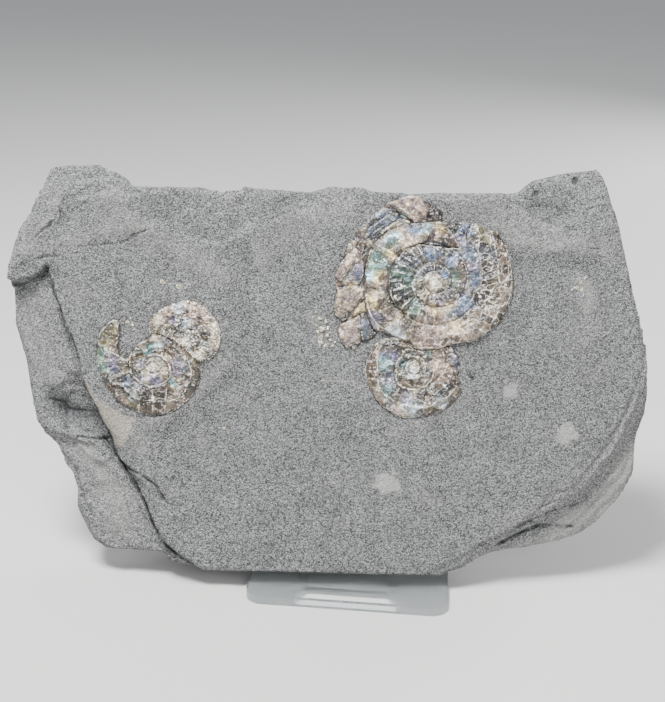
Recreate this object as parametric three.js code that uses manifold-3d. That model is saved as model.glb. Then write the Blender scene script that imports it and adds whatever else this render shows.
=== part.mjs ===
// A slab of grey mudstone with five crushed, pearly psiloceras ammonites on its front face, leaning back on a
// clear display stand. Millimetres, +Z up, the slab's face towards -Y.
import * as THREE from "three";
import { mergeVertices } from "three/addons/utils/BufferGeometryUtils.js";
import Module from "manifold-3d";

const wasm = await Module();
wasm.setup();

// Driving dimensions, in millimetres and degrees
const LEAN = 20; // the slab's face leans back this far from upright
const SEAT_HEIGHT = 5; // from the table to the slab's sawn foot
const SLAB_THICKNESS = 24;
const GAP = 0.3; // left between pieces that touch
const SHELL_ROOT = 0.7; // how far a shell reaches below the slab's face
const POCKET_DEPTH = SHELL_ROOT + GAP;

const STAND_WIDTH = 60;
const STAND_TURN = -5; // the stand's right end is nearer to the viewer
const STAND_CENTRE = 6.4; // its middle, right of the slab's middle
const PLATE_THICKNESS = 2.4;
const PLATE_FRONT = -9.6; // measured back from the slab's front edge
const PLATE_BACK = 58;
const PLATE_CORNER = 5;
const WINDOW = { front: -8.2, back: -1.8, frontWidth: 31, backWidth: 24.5 };
const FIN_THICKNESS = 3;
const FIN_SPACING = 27;
const FIN_FRONT = 1.5;
const FIN_TOP = 58;
const FIN_TOP_WIDTH = 4;
const FIN_ROUND = 1.2; // the cut corners at its top
const FIN_FOOT_BACK = 55;
const FIN_FOOT_HEIGHT = 6.4;

const lean = THREE.MathUtils.degToRad(LEAN);
const standTurn = THREE.MathUtils.degToRad(STAND_TURN);
const QUARTER = Math.PI / 2;

// Materials
const stone = new THREE.MeshStandardMaterial({ color: 0x83857f, roughness: 0.95, metalness: 0 });
const pearl = new THREE.MeshStandardMaterial({ color: 0x8d8375, roughness: 0.4, metalness: 0.1 });
const clear = new THREE.MeshStandardMaterial({
  color: 0xeef3f4,
  roughness: 0.05,
  metalness: 0,
  transparent: true,
  opacity: 0.3,
});

// How far back the fins' leaning edges are, at their foot and at any height above the table
const HEEL = (SLAB_THICKNESS + GAP) / Math.cos(lean);
const finBack = (z) => HEEL + (z - SEAT_HEIGHT + GAP) * Math.tan(lean);
// The turned stand's left fin touches the slab's back squarely
const leftFin = new THREE.Vector3(-(FIN_SPACING + FIN_THICKNESS) / 2, HEEL, 0);
leftFin.applyAxisAngle(new THREE.Vector3(0, 0, 1), standTurn);
const STAND_PLACE = [STAND_CENTRE, HEEL - leftFin.y, 0];

// Outlines on the slab's face: millimetres right of its middle and up from its foot
const LOWER_RIGHT_EDGE = [
  [-36.1, 0], [33.3, 0], [35.7, 0.7], [42.3, 3], [49.1, 6.8], [55.1, 8.4], [70.1, 11.2], [78.4, 13.9],
  [82, 16.7], [88.4, 23.8], [93.3, 32.9], [94, 42], [96.7, 52], [97.2, 58.7],
];
const UPPER_EDGE = [
  [95, 72.2], [91.3, 85.7], [87.3, 102.1], [83, 115.6], [81.7, 120.4], [79.2, 125.1], [71.6, 124.3],
  [59.1, 121], [57.3, 118.8], [55.2, 117.6], [28.1, 116], [10.6, 116.4], [7.6, 118.1], [-2.7, 117.9],
  [-8, 116.2], [-27.7, 116.6], [-35.2, 115.2], [-41.2, 116.6], [-61.7, 116], [-64.5, 117.5],
  [-66.3, 120.1], [-69.1, 120.7], [-71.8, 122.7], [-86, 122.3], [-87.8, 121.7], [-89.2, 117.7],
  [-92.3, 110.1], [-96.6, 102.4], [-98.5, 92.1], [-99.5, 86.4],
];
const LOWER_LEFT_EDGE = [
  [-98.2, 83.1], [-97.4, 73.2], [-94.4, 62.7], [-92, 51.3], [-90.6, 44.7], [-87.4, 39.4], [-84.4, 36.7],
  [-81.8, 30.5], [-79.3, 28.4], [-77.4, 23.4], [-77.2, 18.5], [-75.6, 15], [-72.2, 8.1], [-68.5, 5.5],
  [-50.4, 4.8], [-47.3, 2.1], [-40.3, 1.7],
];
const SILHOUETTE = [...LOWER_RIGHT_EDGE, ...UPPER_EDGE, ...LOWER_LEFT_EDGE];
// The broken edges of the front bed: down the left side, and up the lower right corner
const LEFT_STEP = [
  [-94.7, 86.5], [-89.3, 88.5], [-87, 90.6], [-85.7, 86.1], [-83.4, 81.1], [-81.4, 73.6], [-78.6, 68.5],
  [-76.6, 63.2], [-75.8, 57.2], [-73.9, 53.6], [-71.1, 49.7], [-68.9, 43.8], [-66.7, 41.7], [-65.7, 36.9],
  [-63.1, 32.5], [-58.5, 26.6], [-55.3, 20], [-53, 14], [-50.5, 9.3], [-44.9, 4.9], [-38.2, 0.6],
];
const RIGHT_STEP = [
  [34.2, 0.6], [39.5, 3.2], [46, 8.2], [52, 11.1], [57.9, 13.9], [63, 16.8], [69.8, 21.5], [75.8, 24.6],
  [81.6, 32], [87.4, 41.2], [93.2, 49.5], [96, 57.1],
];
const FRONT_BED = [...LOWER_RIGHT_EDGE.slice(0, 2), ...RIGHT_STEP, ...UPPER_EDGE, ...LEFT_STEP];

// The ammonites. Radii are from the middle of the coil to the outer edge, one at each quarter turn, winding
// inwards from the mouth, where turn is -1 for clockwise. Heights are above the slab's face. Each turn has a
// number of steps, and ribs run from one turn to another.
const AMMONITES = {
  ammonite_large: {
    centre: [30, 89.8],
    start: QUARTER,
    turn: -1,
    height: 2.5,
    steps: 40,
    ribs: { from: 1, to: 3, height: 0.3 },
    radii: [
      18.4, 24, 19.5, 20, 17.5, 14.4, 13.4, 13.3, 11.2, 9.9, 8.1, 6.6, 5.4, 4.8, 3.9, 3.3, 2.7, 2.3, 1.9,
      1.5, 1.2,
    ],
  },
  ammonite_lower: {
    centre: [24.4, 64],
    start: QUARTER,
    turn: -1,
    height: 1.5,
    steps: 26,
    radii: [11.5, 13.9, 15.7, 14.2, 12.1, 9, 6.8, 5.3, 3.8, 3.3, 2.7, 2.3, 1.8, 1.5, 1.2, 1, 0.8],
  },
  ammonite_left: {
    centre: [-53.7, 62.6],
    start: QUARTER * 1.4,
    turn: 1,
    height: 1.5,
    steps: 26,
    radii: [17.9, 16.7, 14.9, 12.6, 9.2, 7.2, 6.6, 5.3, 3.5, 3.3, 3, 2.4, 1.9, 1.5, 1.2, 1, 0.8],
  },
  ammonite_small: {
    centre: [-44.2, 70.7],
    start: QUARTER * 2,
    turn: -1,
    height: 1.1,
    steps: 24,
    radii: [10.8, 11.5, 10.5, 8.9, 7.8, 6.1, 4.9, 4, 3.3, 2.7, 2.1, 1.6, 1.2],
  },
};
// The flattened whorl that the large ammonite lies on: outer and inner radii about its own middle
const CRUSHED_WHORL = {
  centre: [24.3, 88.3],
  from: 68,
  to: 230,
  height: 1.7,
  outer: [24.5, 27.6, 25.6, 24.2, 24.6, 25.2, 27.6],
  inner: 14,
  steps: 18,
  dip: 0.82, // every other step is this share of the height
  breaks: { at: [96, 128, 163, 196], from: 10, to: 32, skew: 0.06, width: 0.9, depth: 2.4 },
};

// Makes a manifold solid of a closed three.js geometry.
function solid(geometry) {
  const flat = geometry.index ? geometry.toNonIndexed() : geometry;
  const bare = new THREE.BufferGeometry().setAttribute("position", flat.getAttribute("position"));
  const merged = mergeVertices(bare, 1e-4);
  return new wasm.Manifold(
    new wasm.Mesh({
      numProp: 3,
      vertProperties: merged.attributes.position.array,
      triVerts: new Uint32Array(merged.index.array),
    }),
  );
}

function geometryOf(body) {
  const mesh = body.getMesh();
  const geometry = new THREE.BufferGeometry();
  geometry.setAttribute("position", new THREE.BufferAttribute(new Float32Array(mesh.vertProperties), 3));
  geometry.setIndex(new THREE.BufferAttribute(new Uint32Array(mesh.triVerts), 1));
  geometry.computeVertexNormals();
  return geometry;
}

const joined = (solids) => solids.reduce((whole, next) => whole.add(next));

// A repeatable random number from 0 to 1
function randomFrom(seed) {
  let state = seed;
  return () => {
    state = (state * 16807) % 2147483647;
    return state / 2147483647;
  };
}

function prism(points, back, front) {
  const shape = new THREE.Shape(points.map(([x, y]) => new THREE.Vector2(x, y)));
  const geometry = new THREE.ExtrudeGeometry(shape, { depth: front - back, bevelEnabled: false });
  return solid(geometry.translate(0, 0, back));
}

// An outline drawn in towards the slab's middle and broken into short, uneven edges
function ragged(points, inset, roughness, seed) {
  const random = randomFrom(seed);
  const longest = 11;
  const middle = new THREE.Vector2(0, 62);
  const broken = [];
  points.forEach(([x, y], i) => {
    const here = new THREE.Vector2(x, y);
    const next = new THREE.Vector2(...points[(i + 1) % points.length]);
    const pieces = Math.ceil(here.distanceTo(next) / longest);
    for (let k = 0; k < pieces; k++) {
      const point = here.clone().lerp(next, k / pieces);
      const inwards = middle.clone().sub(point).normalize();
      point.addScaledVector(inwards, inset + roughness * random());
      broken.push([point.x, point.y]);
    }
  });
  return broken;
}

// A wedge of air that splits stone off along the line from p to q, on the line's left. Its floor starts at
// depth below the face and falls by slope degrees.
function chip(p, q, slope, { depth = 0, reach = 60, spare = 0 } = {}) {
  const along = new THREE.Vector3(q[0] - p[0], q[1] - p[1], 0);
  const length = along.length();
  along.normalize();
  const tilt = THREE.MathUtils.degToRad(slope);
  const outwards = new THREE.Vector3(-along.y, along.x, 0);
  const down = outwards.clone().multiplyScalar(Math.cos(tilt)).add(new THREE.Vector3(0, 0, -Math.sin(tilt)));
  const away = new THREE.Vector3().crossVectors(along, down);
  const tall = 45; // more than the slab is thick
  const box = new THREE.BoxGeometry(length + 2 * spare, reach, tall);
  box.translate(length / 2, reach / 2, tall / 2);
  box.applyMatrix4(new THREE.Matrix4().makeBasis(along, down, away).setPosition(p[0], p[1], -depth));
  return solid(box);
}

// A shallow, shell-like hollow, left where a flake has come off
function scoop(x, y, radius, depth) {
  const ball = new THREE.SphereGeometry(radius, 40, 28).rotateX(QUARTER);
  return solid(ball.translate(x, y, radius - depth));
}

// An open crack: a thin blade of air along the line from p to q
function crack(p, q, width, depth) {
  const length = Math.hypot(q[0] - p[0], q[1] - p[1]);
  const blade = new THREE.CylinderGeometry(width / 2, width / 2, length, 4).scale(1, 1, (2 * depth) / width);
  blade.rotateZ(Math.atan2(q[1] - p[1], q[0] - p[0]) - QUARTER);
  return solid(blade.translate((p[0] + q[0]) / 2, (p[1] + q[1]) / 2, 0));
}

// The slab: five beds of mudstone, with the facets, flakes and cracks of its broken edges
const BED_FLOORS = [-3.6, -8.4, -14, -19.4, -SLAB_THICKNESS];
const BED_OVERLAP = 0.1; // beds run into each other by this much, so that they join
const HIGH = 12; // clear of everything on the face

// A bed between two floors, with its outline drawn in and broken up
function bed(outline, number, inset, roughness) {
  const top = number ? BED_FLOORS[number - 1] + BED_OVERLAP : 0;
  return prism(ragged(outline, inset, roughness, 11 + 12 * number), BED_FLOORS[number], top);
}

function slab() {
  const terraces = [
    chip([-69, 40], [-87.5, 92], 13, { depth: 2.6, reach: 30 }),
    chip([-48, 5], [-69.5, 43], 6, { depth: 4.4, reach: 40 }),
    chip([96, 70], [83, 34], 17, { depth: 3.7, reach: 30, spare: 3 }),
    chip([84, 36], [60, 14.5], 17, { depth: 3.7, reach: 30, spare: 3 }),
    chip([62, 16], [32, 0.5], 15, { depth: 3.7, reach: 30 }),
    chip([-77, 10], [-72, 34], 16, { depth: 6, reach: 20, spare: 4 }),
    scoop(-77.5, 48, 20, 7.4),
    scoop(-72, 24, 34, 6.6),
  ];
  const facets = [
    chip([-97, 91], [-86, 104.5], 24),
    chip([-89, 101], [-70.5, 121], 17),
    chip([-78, 110], [-50, 114.5], 14),
    chip([-62, 113.6], [-24, 112.4], 12),
    chip([-27, 113.8], [14, 113], 15),
    chip([12, 113.4], [57, 113.9], 11),
    chip([50, 101.8], [90, 100.4], 5),
    chip([80.5, 122], [94, 64], 35, { reach: 20, spare: 6 }),
    chip([92, 64], [77, 34], 22, { reach: 9, spare: 2 }),
    chip([79, 37], [55, 17], 22, { reach: 9, spare: 2 }),
    chip([58, 20], [30, 2.5], 20, { reach: 9 }),
    chip([-49.6, 19], [-66, 39], 9, { depth: 0.3, reach: 7 }),
  ];
  const flakes = [
    scoop(-37, 112, 90, 1.7),
    scoop(-4, 118, 70, 1.7),
    scoop(64, 114, 60, 2),
  ];
  const cracks = [
    crack([-100, 85.5], [-86, 91], 1, 3),
    crack([-67, 41], [-58.5, 26.6], 0.8, 3.4),
    crack([-58.5, 26.6], [-51.5, 11], 0.9, 3.4),
    crack([-64.6, 36.4], [-50.5, 21.5], 0.5, 1.2),
    crack([63, 17.5], [74, 16.6], 0.8, 5),
    crack([52, 12.5], [63, 17.5], 0.5, 3),
  ];
  const beds = [
    bed(FRONT_BED, 0, 0, 0.25),
    bed(SILHOUETTE, 1, 0.2, 0.5).subtract(joined(terraces)),
    bed(SILHOUETTE, 2, 0, 0.9),
    bed(SILHOUETTE, 3, 1.6, 2.2),
    bed(SILHOUETTE, 4, 4.5, 4.5),
  ];
  const away = [...facets, ...flakes, ...cracks, belowFoot(), behindFins(), backFacets()];
  return joined(beds).subtract(joined(away));
}

// Everything under the sawn foot, which lies level when the slab leans back
function belowFoot() {
  const size = 400;
  const block = new THREE.BoxGeometry(size, size, size).translate(0, -size / 2, 0);
  return solid(block.rotateX(lean));
}

// Everything behind the plane of the fins' leaning edges, to which the slab's back is split on the right
function behindFins() {
  const size = 400;
  const block = new THREE.BoxGeometry(size, size, size).translate(0, size / 2, 0).rotateX(-lean);
  block.translate(0, HEEL - GAP / Math.cos(lean), SEAT_HEIGHT - GAP).rotateZ(standTurn);
  block.translate(...STAND_PLACE);
  return solid(block.translate(0, 0, -SEAT_HEIGHT).rotateX(lean - QUARTER));
}

// Facets of the broken back, seen from behind
function backFacets() {
  const turned = new THREE.Matrix4().makeRotationY(Math.PI).setPosition(0, 0, -SLAB_THICKNESS);
  const facets = joined([
    chip([-96, 40], [-70, 120], 14),
    chip([60, 122], [97, 70], 16),
    chip([-40, 118], [40, 104], 9),
    chip([92, 60], [50, 4], 18, { reach: 40 }),
    chip([-52, 2], [-92, 50], 15, { reach: 40 }),
  ]);
  return solid(geometryOf(facets).applyMatrix4(turned));
}

// Smooth radius between the quarter-turn values of a coil
function radiusAt(radii, quarter) {
  const last = radii.length - 1;
  const at = (i) => radii[Math.min(Math.max(i, 0), last)];
  const i = Math.floor(Math.min(quarter, last));
  const t = Math.min(quarter, last) - i;
  const [a, b, c, d] = [at(i - 1), at(i), at(i + 1), at(i + 2)];
  return b + 0.5 * t * (c - a + t * (2 * a - 5 * b + 4 * c - d + t * (3 * (b - c) + d - a)));
}

// A closed body swept anticlockwise through rings of points, each ring with the same number of points
function loft(rings) {
  const count = rings[0].length;
  const faces = [];
  for (let i = 0; i + 1 < rings.length; i++) {
    for (let k = 0; k < count; k++) {
      const a = i * count + k;
      const b = i * count + ((k + 1) % count);
      faces.push([a, b, b + count], [a, b + count, a + count]);
    }
  }
  const end = (rings.length - 1) * count;
  for (let k = 1; k + 1 < count; k++) {
    faces.push([0, k + 1, k], [end, end + k, end + k + 1]);
  }
  return meshed(rings.flat(), faces);
}

// A solid from its points and its triangles, which are turned inside out where flip is set
function meshed(points, faces, flip = false) {
  const geometry = new THREE.BufferGeometry();
  geometry.setAttribute("position", new THREE.Float32BufferAttribute(points.flat(), 3));
  geometry.setIndex(faces.flatMap(([a, b, c]) => (flip ? [a, c, b] : [a, b, c])));
  return solid(geometry);
}

// A whorl's cross-section between its seams: share of the width and share of the height
const ARCH = [[0.16, 0.76], [0.42, 1], [0.68, 0.94], [0.9, 0.66]];
const SEAM = 0.4; // share of the height that a seam stands above the face
const LEAST_RISE = 0.45; // the narrowest whorl's share of the height
const PIT = 0.6; // the middle's share of the innermost seam

// One coiled shell: a strip that winds in from the mouth, with its turns joined along their seams, a small
// sunk middle, and a flat back below the slab's face
function coil({ centre, start, turn, height, steps, ribs, radii }) {
  const turns = Math.floor((radii.length - 1) / 4) - 1;
  const widest = radii[1] - radii[5];
  const radius = (j) => radiusAt(radii, (4 * j) / steps);
  const share = (j) => (radius(j) - radius(j + steps)) / widest;
  const rise = (j) => height * Math.min(1, LEAST_RISE + (1 - LEAST_RISE) * share(j));
  const points = [];
  const place = (j, r, z) => {
    const angle = start + (turn * j * 4 * QUARTER) / steps;
    return points.push([centre[0] + r * Math.cos(angle), centre[1] + r * Math.sin(angle), z]) - 1;
  };

  const seams = [];
  for (let j = 0; j <= steps * (turns + 1); j++) {
    seams.push(place(j, radius(j), SEAM * rise(Math.min(j, steps * turns))));
  }
  const rings = [];
  for (let j = 0; j <= steps * turns; j++) {
    const [inner, outer] = [radius(j + steps), radius(j)];
    const ribbed = ribs && j >= ribs.from * steps && j <= ribs.to * steps && j % 2;
    const top = rise(j) + (ribbed ? ribs.height : 0);
    const arch = ARCH.map(([across, up]) => place(j, inner + across * (outer - inner), up * top));
    rings.push([seams[j + steps], ...arch, seams[j]]);
  }

  const faces = [];
  for (let j = 0; j < steps * turns; j++) {
    for (let k = 0; k + 1 < rings[j].length; k++) {
      const [a, b, c, d] = [rings[j][k], rings[j][k + 1], rings[j + 1][k + 1], rings[j + 1][k]];
      faces.push([a, b, c], [a, c, d]);
    }
  }
  // The middle, and the end of the innermost turn that stands over it
  const last = rings[steps * turns];
  const pit = place(0, 0, PIT * SEAM * rise(steps * turns));
  for (let j = steps * turns; j < steps * (turns + 1); j++) {
    faces.push([pit, seams[j], seams[j + 1]]);
  }
  for (let k = 0; k + 2 < last.length; k++) {
    faces.push([last[last.length - 1], last[k], last[k + 1]]);
  }
  faces.push([pit, last[0], last[last.length - 1]]);
  // The outer wall, the mouth and the back
  const foot = [];
  for (let j = 0; j <= steps; j++) {
    foot.push(place(j, radius(j), -SHELL_ROOT));
  }
  const backMiddle = place(steps / 4, 0.1 * radius(0), -SHELL_ROOT);
  for (let j = 0; j < steps; j++) {
    faces.push([seams[j], foot[j], foot[j + 1]], [seams[j], foot[j + 1], seams[j + 1]]);
    faces.push([backMiddle, foot[j + 1], foot[j]]);
  }
  const mouth = [...rings[0], foot[0]];
  for (let k = 0; k + 1 < mouth.length; k++) {
    faces.push([foot[steps], mouth[k + 1], mouth[k]]);
  }
  faces.push([backMiddle, foot[0], foot[steps]]);
  return meshed(points, faces, turn < 0);
}

// The outline of a coil, grown by some millimetres, as a prism
function footprint({ centre, start, turn, steps, radii }, grow, back, front) {
  const points = [];
  for (let j = 0; j <= steps; j++) {
    const quarter = (4 * j) / steps;
    const angle = start + turn * quarter * QUARTER;
    const radius = radiusAt(radii, quarter) + grow;
    points.push([centre[0] + radius * Math.cos(angle), centre[1] + radius * Math.sin(angle)]);
  }
  return prism(points, back, front);
}

function crushedOutline(radius, grow) {
  const { centre, from, to, outer, steps } = CRUSHED_WHORL;
  const edge = (share, value) => {
    const angle = THREE.MathUtils.degToRad(from + share * (to - from));
    return [centre[0] + value * Math.cos(angle), centre[1] + value * Math.sin(angle)];
  };
  const around = [...Array(steps + 1).keys()].map((i) => i / steps);
  const outside = around.map((share) => edge(share, radiusAt(outer, share * (outer.length - 1)) + grow));
  const inside = around.map((share) => edge(share, radius - grow)).reverse();
  return [...outside, ...inside];
}

function crushedWhorl() {
  const { centre, from, to, height, outer, inner, steps, dip, breaks } = CRUSHED_WHORL;
  const seam = SEAM * height;
  const rings = [];
  for (let i = 0; i <= steps; i++) {
    const angle = THREE.MathUtils.degToRad(from + ((to - from) * i) / steps);
    const edge = radiusAt(outer, (i / steps) * (outer.length - 1));
    const place = (r, z) => [centre[0] + r * Math.cos(angle), centre[1] + r * Math.sin(angle), z];
    const top = height * (i % 2 ? 1 : dip);
    const arch = ARCH.map(([across, up]) => place(inner + across * (edge - inner), up * top));
    const [innerWall, outerWall] = [inner, edge].map((r) => [place(r, -SHELL_ROOT), place(r, seam)]);
    rings.push([...innerWall, ...arch, ...outerWall.reverse()]);
  }
  const gaps = breaks.at.map((degrees) => {
    const angle = THREE.MathUtils.degToRad(degrees);
    const tip = (r, turned) => [centre[0] + r * Math.cos(turned), centre[1] + r * Math.sin(turned)];
    return crack(tip(breaks.from, angle), tip(breaks.to, angle + breaks.skew), breaks.width, breaks.depth);
  });
  const margin = 6;
  const aboveFace = prism(crushedOutline(inner, margin), BED_OVERLAP, HIGH);
  return loft(rings).subtract(joined(gaps).intersect(aboveFace));
}

// The clear stand: a base plate with a window, and two fins that the slab rests on and leans against
function stand() {
  const plate = new THREE.Shape();
  const [left, right] = [-STAND_WIDTH / 2, STAND_WIDTH / 2];
  plate.moveTo(left + PLATE_CORNER, PLATE_FRONT);
  plate.absarc(right - PLATE_CORNER, PLATE_FRONT + PLATE_CORNER, PLATE_CORNER, -QUARTER, 0);
  plate.absarc(right - PLATE_CORNER, PLATE_BACK - PLATE_CORNER, PLATE_CORNER, 0, QUARTER);
  plate.absarc(left + PLATE_CORNER, PLATE_BACK - PLATE_CORNER, PLATE_CORNER, QUARTER, 2 * QUARTER);
  plate.absarc(left + PLATE_CORNER, PLATE_FRONT + PLATE_CORNER, PLATE_CORNER, 2 * QUARTER, 3 * QUARTER);
  const { front, back, frontWidth, backWidth } = WINDOW;
  const corners = [[-frontWidth, front], [frontWidth, front], [backWidth, back], [-backWidth, back]];
  plate.holes.push(new THREE.Path(corners.map(([width, y]) => new THREE.Vector2(width / 2, y))));
  const base = solid(
    new THREE.ExtrudeGeometry(plate, { depth: PLATE_THICKNESS, bevelEnabled: false, curveSegments: 6 }),
  );

  const seat = SEAT_HEIGHT - GAP;
  const inPlate = PLATE_THICKNESS / 2;
  const topFront = finBack(FIN_TOP);
  const topBack = topFront + FIN_TOP_WIDTH;
  const profile = [
    [FIN_FRONT, inPlate], [FIN_FRONT, seat], [HEEL, seat],
    [finBack(FIN_TOP - FIN_ROUND), FIN_TOP - FIN_ROUND], [topFront + FIN_ROUND, FIN_TOP],
    [topBack - FIN_ROUND, FIN_TOP], [topBack, FIN_TOP - FIN_ROUND], [FIN_FOOT_BACK, FIN_FOOT_HEIGHT],
    [FIN_FOOT_BACK, inPlate],
  ];
  const fins = [-1, 1].map((side) => {
    const fin = new THREE.Shape(profile.map(([y, z]) => new THREE.Vector2(y, z)));
    const geometry = new THREE.ExtrudeGeometry(fin, { depth: FIN_THICKNESS, bevelEnabled: false });
    geometry.translate(0, 0, -FIN_THICKNESS / 2).rotateX(QUARTER).rotateZ(QUARTER);
    return solid(geometry.translate((side * FIN_SPACING) / 2, 0, 0));
  });
  return joined([base, ...fins]);
}

function named(name, body, material) {
  const mesh = new THREE.Mesh(geometryOf(body), material);
  mesh.name = name;
  return mesh;
}

// Assembly: the fossils lie in shallow pockets in the slab, and those on top cut into those below
const shells = Object.fromEntries(Object.entries(AMMONITES).map(([name, shell]) => [name, coil(shell)]));
const over = (name, grow) => footprint(AMMONITES[name], grow, -HIGH, HIGH);
shells.ammonite_lower = shells.ammonite_lower.subtract(over("ammonite_large", GAP));
shells.ammonite_small = shells.ammonite_small.subtract(over("ammonite_left", GAP));
const crushed = crushedWhorl().subtract(over("ammonite_large", GAP)).subtract(over("ammonite_lower", GAP));

const pockets = Object.values(AMMONITES).map((shell) => footprint(shell, GAP, -POCKET_DEPTH, HIGH));
const crushedPocket = prism(crushedOutline(CRUSHED_WHORL.inner, GAP), -POCKET_DEPTH, HIGH);
const matrix = slab().subtract(joined([...pockets, crushedPocket]));

const leaning = new THREE.Group();
leaning.add(named("mudstone_slab", matrix, stone));
for (const [name, shell] of Object.entries(shells)) {
  leaning.add(named(name, shell, pearl));
}
leaning.add(named("ammonite_crushed", crushed, pearl));
leaning.rotation.x = QUARTER - lean;
leaning.position.z = SEAT_HEIGHT;

const holder = named("display_stand", stand(), clear);
holder.rotation.z = standTurn;
holder.position.set(...STAND_PLACE);

const part = new THREE.Group();
part.add(leaning, holder);

// The origin is under the middle of the whole piece, on the table
part.updateMatrixWorld(true);
const middle = new THREE.Box3().setFromObject(part, true).getCenter(new THREE.Vector3());
part.position.set(-middle.x, -middle.y, 0);

export default part;
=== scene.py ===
"""Psiloceras ammonites on a broken slab of mudstone, leaning back on a clear display stand.

Places on the slab are in millimetres on its face: right of its middle, up from its sawn foot, and out of the
face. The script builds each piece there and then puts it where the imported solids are."""

import math
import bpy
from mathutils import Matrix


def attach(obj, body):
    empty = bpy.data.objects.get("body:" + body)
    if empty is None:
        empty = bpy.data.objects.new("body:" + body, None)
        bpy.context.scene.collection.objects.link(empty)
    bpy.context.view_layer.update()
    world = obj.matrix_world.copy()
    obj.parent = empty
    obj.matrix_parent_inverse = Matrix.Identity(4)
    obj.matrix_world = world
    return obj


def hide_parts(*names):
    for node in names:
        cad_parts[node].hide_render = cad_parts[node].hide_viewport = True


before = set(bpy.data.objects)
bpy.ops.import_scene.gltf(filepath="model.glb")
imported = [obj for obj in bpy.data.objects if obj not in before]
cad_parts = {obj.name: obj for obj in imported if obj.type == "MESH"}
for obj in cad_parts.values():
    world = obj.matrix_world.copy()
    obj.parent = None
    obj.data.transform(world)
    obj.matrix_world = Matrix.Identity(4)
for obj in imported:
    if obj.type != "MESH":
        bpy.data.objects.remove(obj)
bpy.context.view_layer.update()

from types import SimpleNamespace

import bmesh
import bpy
import numpy as np
from bpy.props import FloatProperty, FloatVectorProperty, PointerProperty
from bpy.types import Operator, Panel, PropertyGroup
from mathutils import Matrix, Vector, noise

bl_info = {
    "name": "Ammonite Slab",
    "version": (1, 0, 0),
    "blender": (4, 5, 0),
    "location": "3D View > Sidebar > Ammonites",
    "description": "Builds a mudstone slab with pearly ammonites on a clear stand",
    "category": "Object",
}

# Where the slab's face is in the frame: it leans back, and its foot stands on the fins
LEAN = math.radians(20)
FACE_PLACE = Vector((1.2849, -24.8039, 5.0))
UP_FACE = Vector((0, math.sin(LEAN), math.cos(LEAN)))
OUT_OF_FACE = Vector((0, -math.cos(LEAN), math.sin(LEAN)))
FROM_FACE = Matrix.Scale(0.001, 4) @ Matrix.Translation(FACE_PLACE) @ Matrix(
    (Vector((1, 0, 0)), UP_FACE, OUT_OF_FACE)
).transposed().to_4x4()
TO_FACE = FROM_FACE.inverted()

QUARTER = math.pi / 2
SHELL_ROOT = -0.7  # how far the shells reach below the face
BEDDED = -0.35  # the stone's skin under a shell
FIN_PLACES = (-0.6, 22.4)  # the stand's fins, across the slab's back
FIN_TOP = 60  # up to where the fins touch the back
TINY = 1e-6  # points nearer than this are one

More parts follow.
